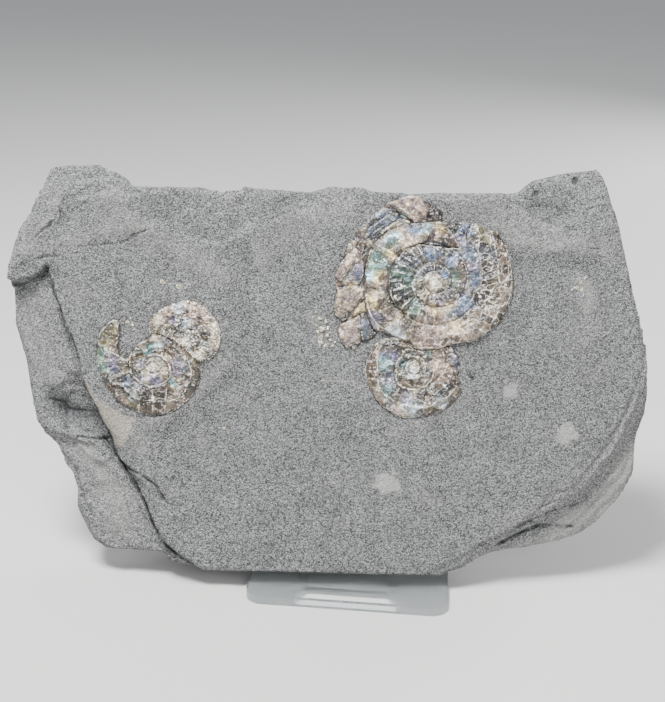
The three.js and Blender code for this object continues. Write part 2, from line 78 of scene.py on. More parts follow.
# The coiled shells. Places on a coil are counted in quarter turns from its mouth inwards.
#   centre, start, turn: its middle, its mouth's angle, and 1 where it winds inwards anticlockwise
#   height, radii: of its whorls; the radii run from the middle to the outer edge at each quarter turn
#   ribs, rib_height, bend: how many in a turn, how high, and how far they lean
#   ribbed: how strong the ribs are at which places
#   plate, rugged, light, seed: width of its plates, how crumbly and how light its skin is, and its own chance
#   cracked: how cracked the outer turn is at each eighth of the way round from the right
#   under, over: the shells that it lies under, and those that it lies on
COILS = {
    "ammonite_large": {
        "centre": (30, 89.8), "start": QUARTER, "turn": -1, "height": 2.5,
        "radii": [
            18.4, 24, 19.5, 20, 17.5, 14.4, 13.4, 13.3, 11.2, 9.9, 8.1,
            6.6, 5.4, 4.8, 3.9, 3.3, 2.7, 2.3, 1.9, 1.5, 1.2,
        ],
        "ribs": 28, "rib_height": 0.5, "bend": -1.4,
        "ribbed": [
            (5.4, 0), (6.3, 0.8), (7.3, 1), (7.9, 0.6), (8.7, 0.25),
            (9.6, 0.6), (12, 0.9), (13.5, 0.3), (15, 0),
        ],
        "plate": 2.4, "rugged": 1.15, "light": 1.32, "seed": 3,
        "cracked": [1, 0.8, 0.3, 0.2, 0.25, 0.4, 0.65, 1],
        "under": (), "over": ("ammonite_crushed", "ammonite_lower"),
    },
    "ammonite_lower": {
        "centre": (24.4, 64), "start": QUARTER, "turn": -1, "height": 1.5,
        "radii": [11.5, 13.9, 15.7, 14.2, 12.1, 9, 6.8, 5.3, 3.8, 3.3, 2.7, 2.3, 1.8, 1.5, 1.2, 1, 0.8],
        "ribs": 22, "rib_height": 0.2, "bend": -1, "ribbed": [(6, 0), (8, 0.3), (11, 0.3), (13, 0)],
        "plate": 2, "rugged": 1.2, "light": 1.08, "seed": 5,
        "cracked": [0.5, 0.6, 0.6, 0.5, 0.5, 0.5, 0.5, 0.5],
        "under": ("ammonite_large",), "over": (),
    },
    "ammonite_left": {
        "centre": (-53.7, 62.6), "start": QUARTER * 1.4, "turn": 1, "height": 1.5,
        "radii": [17.9, 16.7, 14.9, 12.6, 9.2, 7.2, 6.6, 5.3, 3.5, 3.3, 3, 2.4, 1.9, 1.5, 1.2, 1, 0.8],
        "ribs": 22, "rib_height": 0.2, "bend": 1, "ribbed": [(6, 0), (8, 0.25), (11, 0.25), (13, 0)],
        "plate": 2.6, "rugged": 1.2, "light": 1.2, "seed": 8,
        "cracked": [0.4, 0.3, 0.3, 0.4, 0.5, 0.5, 0.4, 0.4],
        "under": (), "over": ("ammonite_small",),
    },
    "ammonite_small": {
        "centre": (-44.2, 70.7), "start": QUARTER * 2, "turn": -1, "height": 1.1,
        "radii": [10.8, 11.5, 10.5, 8.9, 7.8, 6.1, 4.9, 4, 3.3, 2.7, 2.1, 1.6, 1.2],
        "ribs": 24, "rib_height": 0.3, "bend": -1, "ribbed": [(2.5, 0), (4.5, 0.5), (8, 0.5), (10, 0)],
        "plate": 1.3, "rugged": 2.4, "light": 1.26, "seed": 13,
        "cracked": [0.4, 0.3, 0.2, 0.2, 0.3, 0.3, 0.4, 0.4],
        "under": ("ammonite_left",), "over": (),
    },
}
# The crushed whorl: a band round its middle between two angles, with outer radii from the one to the other
CRUSHED_WHORL = {
    "centre": (24.3, 88.3), "from": math.radians(68), "to": math.radians(230), "inner": 14,
    "outer": [24.5, 27.6, 25.6, 24.2, 24.6, 25.2, 27.6], "plate": 2.2, "seed": 21,
    "under": ("ammonite_large", "ammonite_lower"),
}
HIDDEN_REACH = 3  # how far the crushed whorl goes on under the large shell
SHELLS = (*COILS, "ammonite_crushed")
# How high the seams between whorls stand, as a share of a coil's height, at quarter turns from its mouth
SEAM_HEIGHTS = ([0, 4, 8, 16], [0.1, 0.34, 0.42, 0.36])


def tone(red, green, blue):
    """A colour from its screen values, 0 to 255"""
    shares = [value / 255 for value in (red, green, blue)]
    return tuple(share / 12.92 if share < 0.04 else ((share + 0.055) / 1.055) ** 2.4 for share in shares)


def grey(value):
    return (value,) * 3


BLUE = tone(116, 142, 176)
TEAL = tone(96, 134, 128)
CYAN = tone(176, 232, 236)
GOLD = tone(230, 206, 140)
ROSE = tone(190, 168, 156)
LILAC = tone(116, 112, 142)
BROWN = tone(92, 80, 68)
UMBER = tone(50, 45, 41)
OLIVE = tone(88, 86, 60)
CREAM = tone(222, 214, 192)
ICE = tone(212, 228, 234)
SLATE = tone(78, 92, 104)
TAN = tone(140, 130, 118)
GREY = tone(124, 125, 121)
# Near black, for painted shade in the slab's cracks, hollows and pits
PAINTED_SHADE_DARK = (0.02, 0.02, 0.022)

# Patches of colour on each shell: colour, place and reach
SHEEN = {
    "ammonite_large": [
        (BLUE, 38.8, 104.9, 2.2), (LILAC, 37.4, 102.2, 1.5), (OLIVE, 42.6, 105, 2.2),
        (BROWN, 40.4, 102.3, 1.5), (UMBER, 43.5, 100.8, 1.9), (SLATE, 46.6, 97.9, 1.9),
        (BROWN, 45.5, 95.2, 1.9), (UMBER, 46.4, 90.4, 2.1), (BROWN, 48.7, 102.1, 1.7),
        (BROWN, 50.3, 98, 2.2), (BROWN, 52.3, 94.3, 1.7), (TAN, 50.9, 90.5, 1.9), (TAN, 51.4, 86, 1.9),
        (BROWN, 48.4, 85.9, 1.7), (UMBER, 43.5, 84.6, 1.9), (TAN, 48.1, 81, 2.2), (TAN, 43.7, 76.7, 2.6),
        (BROWN, 46.7, 77.6, 1.7), (BLUE, 40.9, 98.9, 2.1), (LILAC, 42.1, 94, 1.7), (BLUE, 42, 90.2, 1.7),
        (BLUE, 39.8, 83.8, 1.7), (BROWN, 38.7, 95.4, 1.3), (TAN, 38.9, 89.4, 1.7), (BLUE, 35.7, 79.9, 1.7),
        (GOLD, 36.2, 76.7, 1.9), (ROSE, 31.3, 76.4, 4.1), (ROSE, 38.1, 73.6, 2.6), (ROSE, 28.7, 72.9, 3),
        (BROWN, 23, 75.4, 1.9), (TAN, 19.9, 78.4, 2.2), (BROWN, 16.1, 79.8, 1.5), (LILAC, 12, 78.2, 1.5),
        (ICE, 18.9, 73.4, 1.9), (BROWN, 14.6, 81.2, 1.3), (GOLD, 11.5, 83.4, 1.7), (CREAM, 13, 85, 1.7),
        (BROWN, 11.8, 87.6, 1.3), (OLIVE, 15.2, 84.6, 1.1), (ROSE, 14.8, 88.8, 1.7), (GOLD, 13.2, 91, 1.3),
        (CYAN, 11.3, 91.3, 1.1), (TEAL, 12.7, 94, 1.7), (TEAL, 12.3, 96.3, 1.7), (GREY, 13.3, 100.4, 1.7),
        (CYAN, 16.3, 100.5, 1.5), (CYAN, 17.8, 102.4, 1.3), (GOLD, 16.8, 98.3, 1.1),
        (ROSE, 20.8, 102.5, 1.7), (CREAM, 19.3, 101, 1.3), (BLUE, 23.8, 105, 1.7), (CYAN, 27.5, 105.7, 1.3),
        (ROSE, 29.1, 103.9, 1.5), (GOLD, 30.9, 105.4, 1.1), (CREAM, 24.9, 102.6, 1.5),
        (UMBER, 29.9, 101.6, 1.7), (BROWN, 34.8, 101.4, 1.7), (UMBER, 34.3, 107, 1.3),
        (TEAL, 19.6, 90.4, 2.6), (SLATE, 18.9, 87.4, 1.9), (SLATE, 20.3, 94.2, 1.7),
        (TEAL, 21.9, 88.2, 1.7), (UMBER, 18.6, 84.4, 1.5), (TEAL, 24.4, 81.1, 2.2), (TAN, 26.7, 77.8, 2.2),
        (OLIVE, 19.8, 81.4, 1.5), (BLUE, 28.5, 97.8, 1.7), (BROWN, 26.6, 97.4, 1.3), (SLATE, 31.8, 99, 1.9),
        (BROWN, 32.3, 96.4, 1.7), (BLUE, 35.3, 96.1, 1.7), (SLATE, 23.6, 96.5, 1.7),
        (BLUE, 26.4, 92.1, 1.3), (SLATE, 29.3, 92.9, 1.3), (BLUE, 32.4, 91.9, 1.3), (TEAL, 35.8, 90.5, 1.5),
        (BROWN, 27.6, 85.7, 1.1), (LILAC, 31.5, 83.6, 1.7), (SLATE, 34.1, 85.5, 1.5),
        (GOLD, 34.2, 81.6, 1.5), (GOLD, 30.4, 81.3, 1.3), (CREAM, 29.4, 89.2, 2.8),
    ],
    "ammonite_crushed": [
        (CREAM, 19.8, 111.5, 1.5), (ROSE, 24.4, 110.9, 2.2), (UMBER, 23.3, 113.7, 0.9),
        (BROWN, 27, 111.3, 1.3), (CYAN, 21, 109.9, 0.9), (UMBER, 29.7, 109.7, 1.5),
        (BLUE, 14.6, 108.4, 1.5), (SLATE, 11.7, 104.9, 1.9), (GREY, 16.2, 105, 1.5),
        (LILAC, 18.4, 106.6, 1.1), (UMBER, 8.1, 98.8, 1.5), (CREAM, 4.5, 99.6, 1.1), (ROSE, 3.3, 94.5, 1.7),
        (BROWN, 2.2, 92.2, 1.1), (CREAM, 5.9, 96.6, 0.9), (LILAC, 6.4, 92.7, 1.5), (BLUE, 5.7, 90.8, 1.3),
        (GOLD, 4.9, 89.1, 1.1), (ROSE, 2.8, 83.9, 1.9), (BROWN, 1.6, 86.2, 1.5), (CREAM, 7.3, 85.2, 1.3),
        (ROSE, 6.6, 82.2, 1.5), (BROWN, 1.4, 80.9, 1.1), (UMBER, 2.8, 78.7, 0.9), (TAN, 4.2, 74.6, 2.1),
        (SLATE, 9.9, 74.3, 1.9), (BLUE, 9.1, 76.2, 1.3), (BROWN, 12.1, 73.3, 1.3), (UMBER, 3.2, 70.4, 1.3),
        (GREY, 7.3, 69.4, 1.5), (BROWN, 6.9, 86.3, 0.9),
    ],
    "ammonite_lower": [
        (UMBER, 16.5, 70, 1.2), (UMBER, 19.6, 69.2, 1.4), (OLIVE, 23.4, 68, 1.2), (CYAN, 15.7, 65.1, 1.5),
        (ICE, 16.7, 64.4, 1), (LILAC, 17.6, 67.4, 1.4), (BLUE, 15.1, 67.1, 1), (SLATE, 16, 61.3, 1.9),
        (LILAC, 17, 60.1, 1.1), (TEAL, 16.6, 56.3, 1.4), (BLUE, 17.4, 57.6, 0.9), (UMBER, 19.9, 58.2, 0.9),
        (UMBER, 23.4, 55.7, 1.1), (LILAC, 22.7, 54, 1.4), (UMBER, 26.2, 53.8, 0.9),
        (UMBER, 27.4, 56.6, 0.8), (TAN, 26.7, 55.1, 1), (BROWN, 30.1, 58.9, 1.4), (ROSE, 32.8, 62.8, 2),
        (ROSE, 32.2, 66, 1.4), (SLATE, 32.5, 56, 1.4), (UMBER, 34.7, 58, 1.1), (BROWN, 31.2, 54.9, 0.9),
        (UMBER, 29.6, 66, 1), (TEAL, 28.6, 68.2, 1.1), (LILAC, 37.2, 67.9, 1.1), (LILAC, 37.5, 64.4, 1.1),
        (BROWN, 36.5, 64.6, 0.6), (BROWN, 12.1, 65.5, 1.1), (BROWN, 11.9, 63.2, 1),
        (BROWN, 12.2, 60.7, 1.1), (ROSE, 12.6, 67.5, 0.8), (TAN, 12.3, 58.5, 1), (TAN, 13.7, 54.7, 1.2),
        (ICE, 24.3, 52.1, 2), (ROSE, 20.1, 50.1, 1.5), (GREY, 17.5, 52.1, 1.2), (OLIVE, 30.8, 51.4, 1.2),
        (ICE, 32.8, 53.2, 1.1), (BROWN, 36.3, 54.1, 1), (TEAL, 21.4, 64.7, 1.2), (ICE, 23.5, 62.3, 1.2),
        (TAN, 26.1, 59.3, 1.4), (SLATE, 28.5, 62.4, 0.9), (CREAM, 24.5, 62.8, 1.1),
        (OLIVE, 20.2, 62.2, 0.9),
    ],
    "ammonite_left": [
        (OLIVE, -66.6, 73.1, 2.1), (OLIVE, -67.1, 70.1, 1.8), (BROWN, -65.6, 68.9, 1.2),
        (LILAC, -63.5, 67.7, 0.9), (TEAL, -69.6, 65.8, 1.2), (TEAL, -69.5, 61.8, 1.3),
        (GREY, -68.7, 58.9, 0.9), (LILAC, -66.1, 63.7, 1.3), (SLATE, -66.3, 60.1, 1.2),
        (LILAC, -64.8, 61.7, 1.2), (UMBER, -65.3, 57.7, 1.2), (UMBER, -65.5, 55.3, 1.2),
        (UMBER, -62.5, 54.2, 1.3), (BROWN, -63.4, 52.1, 1.2), (OLIVE, -59.4, 51.3, 1.2),
        (UMBER, -56.1, 50.1, 1.3), (BROWN, -55.7, 48.6, 1.3), (BROWN, -51.8, 48.7, 1.8),
        (BROWN, -51.5, 50.3, 1.2), (BROWN, -46.7, 50.7, 1.2), (BROWN, -43.2, 54.4, 1.5),
        (UMBER, -55.8, 53.2, 1.3), (UMBER, -51.9, 53.9, 1.3), (BROWN, -47.4, 54.6, 1.2),
        (OLIVE, -59.2, 65.1, 1.1), (OLIVE, -62.4, 61.7, 1.5), (TAN, -62.7, 59.9, 0.9),
        (LILAC, -59.5, 56.1, 1.3), (BLUE, -61.4, 57.2, 1.2), (OLIVE, -59.8, 55.2, 0.8),
        (LILAC, -57.6, 63.1, 1.1), (UMBER, -56.1, 63.7, 0.9), (SLATE, -57.8, 59.1, 0.9),
        (LILAC, -53.3, 58.1, 1.3), (TEAL, -48.1, 57.3, 0.9), (LILAC, -46.4, 62.8, 1.3),
        (SLATE, -44.6, 61.6, 1.1), (LILAC, -47.3, 60.9, 0.9), (BROWN, -43.9, 59.2, 1.1),
        (BROWN, -41.3, 60.2, 1.3), (BROWN, -40.3, 56.9, 1.2), (TAN, -56.3, 70, 1.5), (CYAN, -55, 66.8, 1.1),
        (BROWN, -51.4, 66.8, 1.2), (TAN, -50.9, 69.9, 1.3), (LILAC, -50.3, 70.5, 0.9),
        (ICE, -52.6, 68.6, 0.9), (GREY, -45.6, 64.3, 1.2), (CREAM, -53.7, 61.7, 1.9),
        (ICE, -59.8, 52.8, 0.9),
    ],
    "ammonite_small": [
        (ROSE, -50.5, 78.6, 1.3), (ICE, -46.3, 79.9, 1.3), (ROSE, -42.3, 78.8, 1.8),
        (ROSE, -38.4, 76.5, 1.3), (CREAM, -36.2, 73.9, 1.5), (ROSE, -35.6, 76.3, 0.9),
        (OLIVE, -50.4, 73.8, 1.1), (CREAM, -52.8, 75.9, 1.2), (TAN, -54, 73.4, 1.2),
        (UMBER, -40.2, 76.5, 0.9), (UMBER, -38, 75.6, 0.8), (SLATE, -46.5, 74.8, 1.2),
        (LILAC, -48.3, 76.3, 0.9), (ICE, -43.7, 74.3, 1.1), (BROWN, -38.5, 71.4, 1.2),
        (GREY, -44.3, 72.2, 1.5), (CREAM, -45.1, 69.4, 1.3), (CREAM, -40.5, 64.7, 1.5),
        (BROWN, -41.2, 68.3, 1.2), (GREY, -38.5, 68.4, 1.2), (CREAM, -35.1, 68.5, 1.2),
        (OLIVE, -36.9, 66, 1.2), (TAN, -47.6, 70.9, 1.2),
    ],
}

# Lines on the shells: how wide, how pale (dark below nought), how far they stand up, and their points. Pale
# lines are calcite cracks and seams, some of them painted highlight on raised rims; the dark lines are
# painted shadow in gaps and under plates.
DRAWN = {
    "ammonite_large": [
        (0.22, 0.9, 0.12, [(46.6, 105.1), (47.5, 102.1), (48.2, 98.7), (48.9, 95.7), (49.1, 92.7),
            (49.4, 89.7), (47.9, 88.1), (46.7, 86.2), (46.4, 84), (48.4, 83.1), (50.7, 82.7)]),
        (0.22, 0.8, 0.05, [(48.6, 105.1), (50.8, 102.2), (52, 98), (53, 93.9), (53.3, 89),
            (52.8, 85.3), (51.7, 83)]),
        (0.25, 0.75, 0.1, [(43.2, 103.1), (42.9, 99.3), (43.7, 95.6), (44, 91.8), (44, 88.4),
            (42.5, 86.9), (41.3, 84.2), (39.1, 81.9)]),
        (0.2, 0.7, 0.05, [(43.8, 96.9), (46, 97.4), (48.3, 97.2)]),
        (0.2, 0.7, 0.05, [(44, 92.6), (46.3, 92.2), (48.9, 93)]),
        (0.2, 0.75, 0.05, [(41.9, 86.9), (43.8, 87.8), (45.5, 86.2), (45.4, 83.6), (44, 81.8),
            (42.2, 82.7), (41.6, 85), (41.9, 86.9)]),
        (0.2, 0.7, 0.05, [(46.9, 86.2), (47.9, 88.3), (49.4, 88.1), (50.1, 85.9), (48.8, 83.9),
            (47.1, 83.6), (46.5, 85.1)]),
        (0.2, 0.7, 0, [(48.4, 98.7), (51.8, 98.2)]),
        (0.2, 0.7, 0, [(48.9, 95.3), (52.6, 95.3)]),
        (0.2, 0.7, 0, [(49.1, 92.3), (53.3, 92.4)]),
        (0.2, 0.6, 0, [(49.8, 87.1), (53.2, 87)]),
        (0.22, 0.8, 0.1, [(33.5, 105.5), (35.5, 103.3), (37.1, 100.1)]),
        (0.22, 0.8, 0.1, [(41.3, 103.2), (39.3, 101.5), (37.3, 99.7)]),
        (0.2, 0.6, 0.05, [(41.5, 103), (44.5, 103.8), (46.6, 103.6)]),
        (0.18, 0.6, 0, [(38, 106.7), (39, 104.5), (38.2, 101.8)]),
        (0.25, 0.9, 0.15, [(26.1, 100.5), (28.8, 99.9), (32.2, 99.7), (36, 99.5), (37.8, 100)]),
        (0.25, 0.9, 0.15, [(37.5, 86), (36.7, 83.7), (34.5, 82.1), (31.9, 81.5), (29.3, 81.8),
            (26.6, 82.9), (24.7, 84.5), (23.7, 86.8)]),
        (0.22, 0.8, 0.1, [(37.9, 84.7), (36, 82.5), (32.9, 80.7), (29.7, 81)]),
        (0.2, 0.75, 0.1, [(24, 87.9), (24.1, 90.5), (25.6, 92.8), (27.4, 94.1), (29.3, 94.4),
            (31.9, 94.2), (34.1, 91.9), (34.5, 89.7)]),
        (0.3, 0.9, 0.15, [(9.6, 85.3), (10.2, 81.5), (11.6, 78.1), (13.6, 75.9), (17, 74.1), (20.1, 72.7),
            (21.6, 71.9)]),
        (0.2, 0.5, 0.05, [(12.3, 82.3), (14.6, 79.7), (17.7, 76.8), (20.8, 75), (24.6, 73.6),
            (28.7, 72.6), (32.9, 72.5)]),
        (0.2, 0.5, 0.05, [(15.3, 82), (18, 79.1), (21.1, 76.5), (25.3, 74.7), (29.5, 73.8)]),
        (0.35, 0.95, 0.15, [(22, 71.1), (23.9, 70), (26.9, 69.4), (30, 69.8)]),
        (0.2, 0.6, 0.05, [(41.4, 76.9), (42.9, 78.2), (45.2, 78.8), (47.4, 80.6)]),
        (0.2, 0.6, 0.05, [(38.1, 75.4), (40.3, 76.3), (41.9, 74.8), (41.2, 72.3)]),
        (0.2, 0.6, 0.05, [(29.8, 75.6), (32.8, 77), (36.5, 77.5), (38.4, 78.8)]),
        (0.4, -0.9, -0.6, [(25.7, 100.9), (28, 100.5), (30.7, 100.2), (33.7, 99.9), (36.9, 99.8)]),
        (0.3, -0.7, -0.35, [(16.8, 95.8), (18.7, 97.9), (21.6, 99.4), (24.6, 100.5), (25.9, 100.9)]),
        (0.35, -0.6, -0.25, [(16, 93.3), (15.8, 88.8), (16.9, 84.3), (19.1, 81.4), (22.6, 77.7),
            (26.4, 75.8)]),
        (0.22, -0.7, -0.2, [(23.2, 87.5), (24.1, 85.3), (26.2, 83.1), (28.9, 82), (31.5, 81)]),
        (0.3, -0.8, -0.3, [(20.9, 71.8), (23.1, 70.6), (25.4, 69.8), (28.8, 70.2), (31.8, 70.1)]),
        (0.3, -0.6, -0.2, [(40.5, 106.8), (39.2, 104.1), (39.7, 101.5)]),
        (0.25, -0.5, -0.15, [(49.4, 104.8), (48.6, 100.6), (49.2, 96.1)]),
    ],
    "ammonite_crushed": [
        (0.3, -1, -0.7, [(18.1, 110.3), (20.6, 109.2), (22.9, 107.5), (23.7, 106.8)]),
        (0.3, -0.8, -0.4, [(10.2, 105.5), (12.8, 107.5), (16.1, 109.7)]),
        (0.25, -0.7, -0.3, [(9.1, 101.4), (11.7, 104.3), (14.7, 106.5)]),
        (0.25, -0.7, -0.4, [(1.9, 76.4), (6, 77.9), (7.8, 79.2)]),
        (0.3, -0.9, -0.5, [(7.6, 87.5), (9, 90.9), (9.3, 94.7)]),
        (0.3, -0.8, -0.5, [(4, 68.5), (5.4, 66.3), (6.1, 64.1)]),
        (0.3, -0.8, -0.4, [(9.2, 70.9), (11.4, 71.7), (13.3, 73.5)]),
        (0.3, 0.9, 0.15, [(17.9, 113.5), (18.7, 111.9), (20.6, 110.6), (22.2, 108.6)]),
        (0.25, 0.8, 0.1, [(19, 114.1), (21.2, 114.8), (24.3, 114.5), (26.2, 112.4)]),
        (0.3, 0.8, 0.15, [(16.9, 107.5), (19.9, 108.1), (22.2, 107.3)]),
        (0.25, 0.6, 0.1, [(10.9, 106), (13.5, 107.2), (16.1, 109.9)]),
        (0.22, 0.9, 0.15, [(0, 90.5), (1.8, 94.3), (4.2, 97.7), (6.2, 97), (5.7, 95.5), (3.6, 91.5),
            (1.7, 88.9), (0, 90.5)]),
        (0.25, 0.7, 0.1, [(4.6, 80), (7, 82.9), (8.8, 86.7)]),
        (0.25, 0.7, 0.1, [(0.5, 79), (2.6, 77), (4.5, 78)]),
        (0.25, 0.7, 0.1, [(4.9, 69.1), (6, 69.9), (8.4, 70.7), (11.2, 71.7)]),
        (0.2, 0.6, 0.05, [(3.1, 89), (5.7, 88.7), (8.7, 89.4)]),
    ],
    "ammonite_lower": [
        (0.22, 0.9, 0.1, [(13.7, 67.8), (13.5, 65), (13.8, 62), (13.8, 59), (14.4, 56.8),
            (16.2, 55), (18, 54), (18.7, 53.3)]),
        (0.4, 0.9, 0.15, [(21, 52.3), (22.8, 52.2), (24.8, 52), (26.8, 51.8), (28.8, 51.6)]),
        (0.25, 0.7, 0.1, [(28.8, 51.6), (30.6, 52.6), (32.5, 54), (34.6, 54.8), (36.4, 56.6),
            (37.4, 58.1)]),
        (0.28, 0.9, 0.15, [(19.5, 62.2), (19.3, 60.2), (20.1, 58.5), (21.6, 57.5), (23.7, 57),
            (25.9, 57.1), (27.9, 57.9), (29.9, 59.9), (30.7, 62.5), (30.5, 64.2)]),
        (0.2, 0.8, 0.1, [(19.3, 62.2), (19.2, 64.2), (19.7, 65.4), (20.9, 66.5), (23.4, 67), (25.9, 66.8),
            (27.3, 65.9), (27.9, 64.4), (28, 62.8), (27.1, 61.4), (25.8, 60.3), (24.6, 60.7),
            (23.5, 61.5)]),
        (0.18, 0.8, 0.1, [(23.3, 61.3), (22.5, 62.2), (22.3, 63.7), (22.8, 64.7), (24.2, 65.3),
            (25.7, 64.7), (26.3, 63.6), (25.8, 62.3)]),
        (0.18, 0.7, 0.05, [(24, 62.3), (23.5, 63.3), (24.5, 64.1), (25.2, 63.3)]),
        (0.2, 0.7, 0.05, [(30, 54.3), (31.2, 55.9), (33.2, 57.7), (35.2, 59.3), (34.4, 60)]),
        (0.2, 0.7, 0.05, [(35.1, 59.6), (36.2, 59.3), (37.2, 59)]),
        (0.25, 0.8, 0.1, [(21.4, 68), (22.2, 69), (23.8, 68.8), (26.9, 68.3), (27.5, 67.8)]),
        (0.22, 0.8, 0.1, [(18.9, 56.1), (20.4, 55.6), (22.4, 55.4), (24, 54.5), (25.7, 54.2),
            (27.3, 53.5), (28.5, 54.8), (30, 54.6)]),
        (0.25, 0.8, 0.1, [(15.8, 51.5), (17.5, 50.8), (20.1, 49.6), (22.8, 49.6), (24.6, 50.2)]),
        (0.2, 0.7, 0.05, [(30.4, 66.7), (31.5, 65.7), (32.5, 65.2), (33.7, 65.8)]),
        (0.2, 0.7, 0.05, [(31, 64.5), (31.8, 62.5), (33.6, 61.5), (35.1, 60)]),
        (0.18, 0.6, 0, [(10.9, 64), (13.5, 64.3)]),
        (0.18, 0.6, 0, [(10.7, 62.1), (13.7, 62.4)]),
        (0.18, 0.6, 0, [(11.1, 59.9), (13.7, 59.9)]),
        (0.2, 0.7, 0.1, [(24.8, 56.3), (25, 55), (25.4, 54.2)]),
        (0.25, -0.8, -0.3, [(34.5, 65.6), (36, 64.1), (37.1, 61.1), (37, 59.1)]),
        (0.3, -0.8, -0.3, [(29.8, 53.8), (31.2, 55.2), (33.2, 56.8), (35.2, 58.7)]),
        (0.3, -0.7, -0.3, [(15.8, 69.6), (18.3, 70.2), (20.8, 69.5), (22.4, 68)]),
        (0.3, -0.5, -0.2, [(12.3, 68.5), (11.1, 65.5), (11, 61.9), (12.3, 58)]),
    ],
    "ammonite_left": [
        (0.25, 0.9, 0.12, [(-68.6, 66.7), (-66.4, 65.8), (-64, 64.6), (-62.1, 63.5), (-60.9, 63.9),
            (-60.6, 65.4), (-59.8, 67.2), (-58.1, 68.7), (-56.1, 69.4)]),
        (0.22, 0.7, 0.1, [(-60.8, 65.4), (-60.8, 62.4), (-60.4, 60)]),
        (0.3, 1, 0.2, [(-60.5, 60), (-59.3, 58.4), (-57.1, 56.7), (-54.7, 55.8), (-52.3, 56.1),
            (-50.2, 57.2), (-48.7, 58.5), (-48.4, 60.3), (-48.8, 62), (-49.8, 63.7), (-51.3, 65),
            (-53.5, 65.4), (-55.5, 64.9)]),
        (0.22, 0.8, 0.1, [(-55.4, 60.7), (-54.8, 59.5), (-53, 59.2), (-51.5, 60.1), (-51.7, 62.5),
            (-53.1, 63.8), (-54.9, 63.7), (-56.4, 62.2)]),
        (0.28, 0.8, 0.15, [(-64.4, 56.6), (-62.5, 55.6), (-60.7, 53.9), (-58.8, 52.1), (-56.4, 51.6),
            (-53.4, 51.5), (-49.8, 51.5), (-46.8, 52.1), (-44.7, 53.1)]),
        (0.2, 0.7, 0.05, [(-70.4, 68.1), (-69.2, 66.3), (-67, 64), (-64.5, 61.6), (-62.6, 59)]),
        (0.2, 0.7, 0.05, [(-66.6, 65.5), (-67.6, 63.3), (-69.4, 62.7)]),
        (0.2, 0.7, 0.05, [(-67.6, 63.3), (-67.2, 60.9), (-68, 58.2), (-69.6, 59.1)]),
        (0.2, 0.7, 0.05, [(-67.3, 57.8), (-65, 58.9), (-62.8, 59.6)]),
        (0.2, 0.7, 0.05, [(-66.8, 57.9), (-65.6, 56.5), (-63.8, 55.9)]),
        (0.18, 0.75, 0.05, [(-57.6, 51.8), (-57.8, 47.9)]),
        (0.18, 0.75, 0.05, [(-54.1, 55.6), (-53.4, 51.7), (-53.7, 47.5)]),
        (0.18, 0.75, 0.05, [(-49.6, 55.7), (-49.8, 51.5), (-50.1, 47.7)]),
        (0.18, 0.7, 0.05, [(-46.5, 52.1), (-43.6, 51.3)]),
        (0.18, 0.7, 0.05, [(-45.7, 56.1), (-47.7, 53.3)]),
        (0.18, 0.7, 0.05, [(-45.7, 55.8), (-44.2, 56.7), (-42.1, 58), (-39.9, 58.5)]),
        (0.18, 0.7, 0.05, [(-45.2, 60.3), (-45.4, 58.6), (-44, 57.2)]),
        (0.18, 0.7, 0.05, [(-46.8, 63), (-46.4, 60.3), (-44.9, 60), (-42.7, 59.5)]),
        (0.22, 0.75, 0.1, [(-44.3, 65.4), (-42.8, 62.8), (-42.1, 60.1), (-42.3, 58), (-43.3, 56.7)]),
        (0.2, 0.7, 0.05, [(-48.3, 63.9), (-46.8, 63), (-44.6, 62.7), (-43.3, 62.8)]),
        (0.2, 0.7, 0.05, [(-58.8, 62.4), (-57.8, 60.6), (-56.6, 59.5)]),
        (0.2, 0.7, 0.05, [(-53.2, 69.2), (-52.9, 67.1), (-52.6, 65.6)]),
        (0.22, 0.7, 0.1, [(-69.6, 71.8), (-67.9, 74.3), (-66.1, 75.3), (-64.6, 75)]),
        (0.18, 0.7, 0.05, [(-65.3, 67.7), (-64.4, 69.5), (-64.2, 71.3)]),
        (0.3, -0.8, -0.25, [(-60.2, 58.5), (-58.7, 56.9), (-56.5, 55.6), (-54.4, 54.9), (-52, 55.2)]),
        (0.3, -0.6, -0.2, [(-62.8, 54.8), (-60.7, 52.6), (-58.5, 51), (-54.6, 50.6), (-49.7, 50.6)]),
        (0.3, -0.6, -0.25, [(-55.3, 65.5), (-53.2, 66.1), (-50.7, 65.4), (-48.9, 63.3), (-47.8, 60.9)]),
        (0.25, -0.6, -0.2, [(-56.1, 61.3), (-55.2, 62.5), (-53.7, 63.2), (-52.2, 62)]),
    ],
    "ammonite_small": [
        (0.2, 0.8, 0.12, [(-47.9, 72.2), (-46.1, 73.3), (-43.7, 74), (-41.6, 73.4), (-40.3, 71.9),
            (-39.7, 70.5)]),
        (0.2, 0.8, 0.1, [(-48.2, 71.8), (-46.1, 71.1), (-44.3, 71.5), (-43.1, 72.1)]),
        (0.2, 0.8, 0.1, [(-46.6, 70), (-44.8, 68.8), (-42.9, 67), (-41.1, 65.2), (-39.2, 64.1)]),
        (0.2, 0.8, 0.1, [(-40.6, 73.7), (-39.5, 74.6), (-37.9, 74.1)]),
        (0.2, 0.7, 0.1, [(-39.4, 69.5), (-37, 69.6), (-35.7, 68.7)]),
        (0.2, 0.7, 0.1, [(-39.9, 67.1), (-37.5, 65.9), (-35.9, 66)]),
        (0.18, 0.8, 0.1, [(-44.2, 70), (-42.7, 71), (-41.5, 70.1), (-42.1, 68.9), (-43.3, 69.2)]),
        (0.3, 0.5, 0.1, [(-53.5, 77.8), (-50.5, 79.4), (-46.9, 80.7), (-43.9, 81.4), (-40.6, 80.6),
            (-37.8, 78.7)]),
        (0.25, 0.6, 0.05, [(-37.2, 78.1), (-35.3, 75.7), (-34.3, 72.7), (-34.2, 69.7), (-35.1, 67)]),
        (0.25, -0.8, -0.25, [(-47.9, 71.8), (-46.7, 72.8), (-44.3, 73.3), (-41.6, 73.1)]),
        (0.3, -0.8, -0.3, [(-40.8, 76.9), (-39.6, 76.1), (-38.3, 75.9)]),
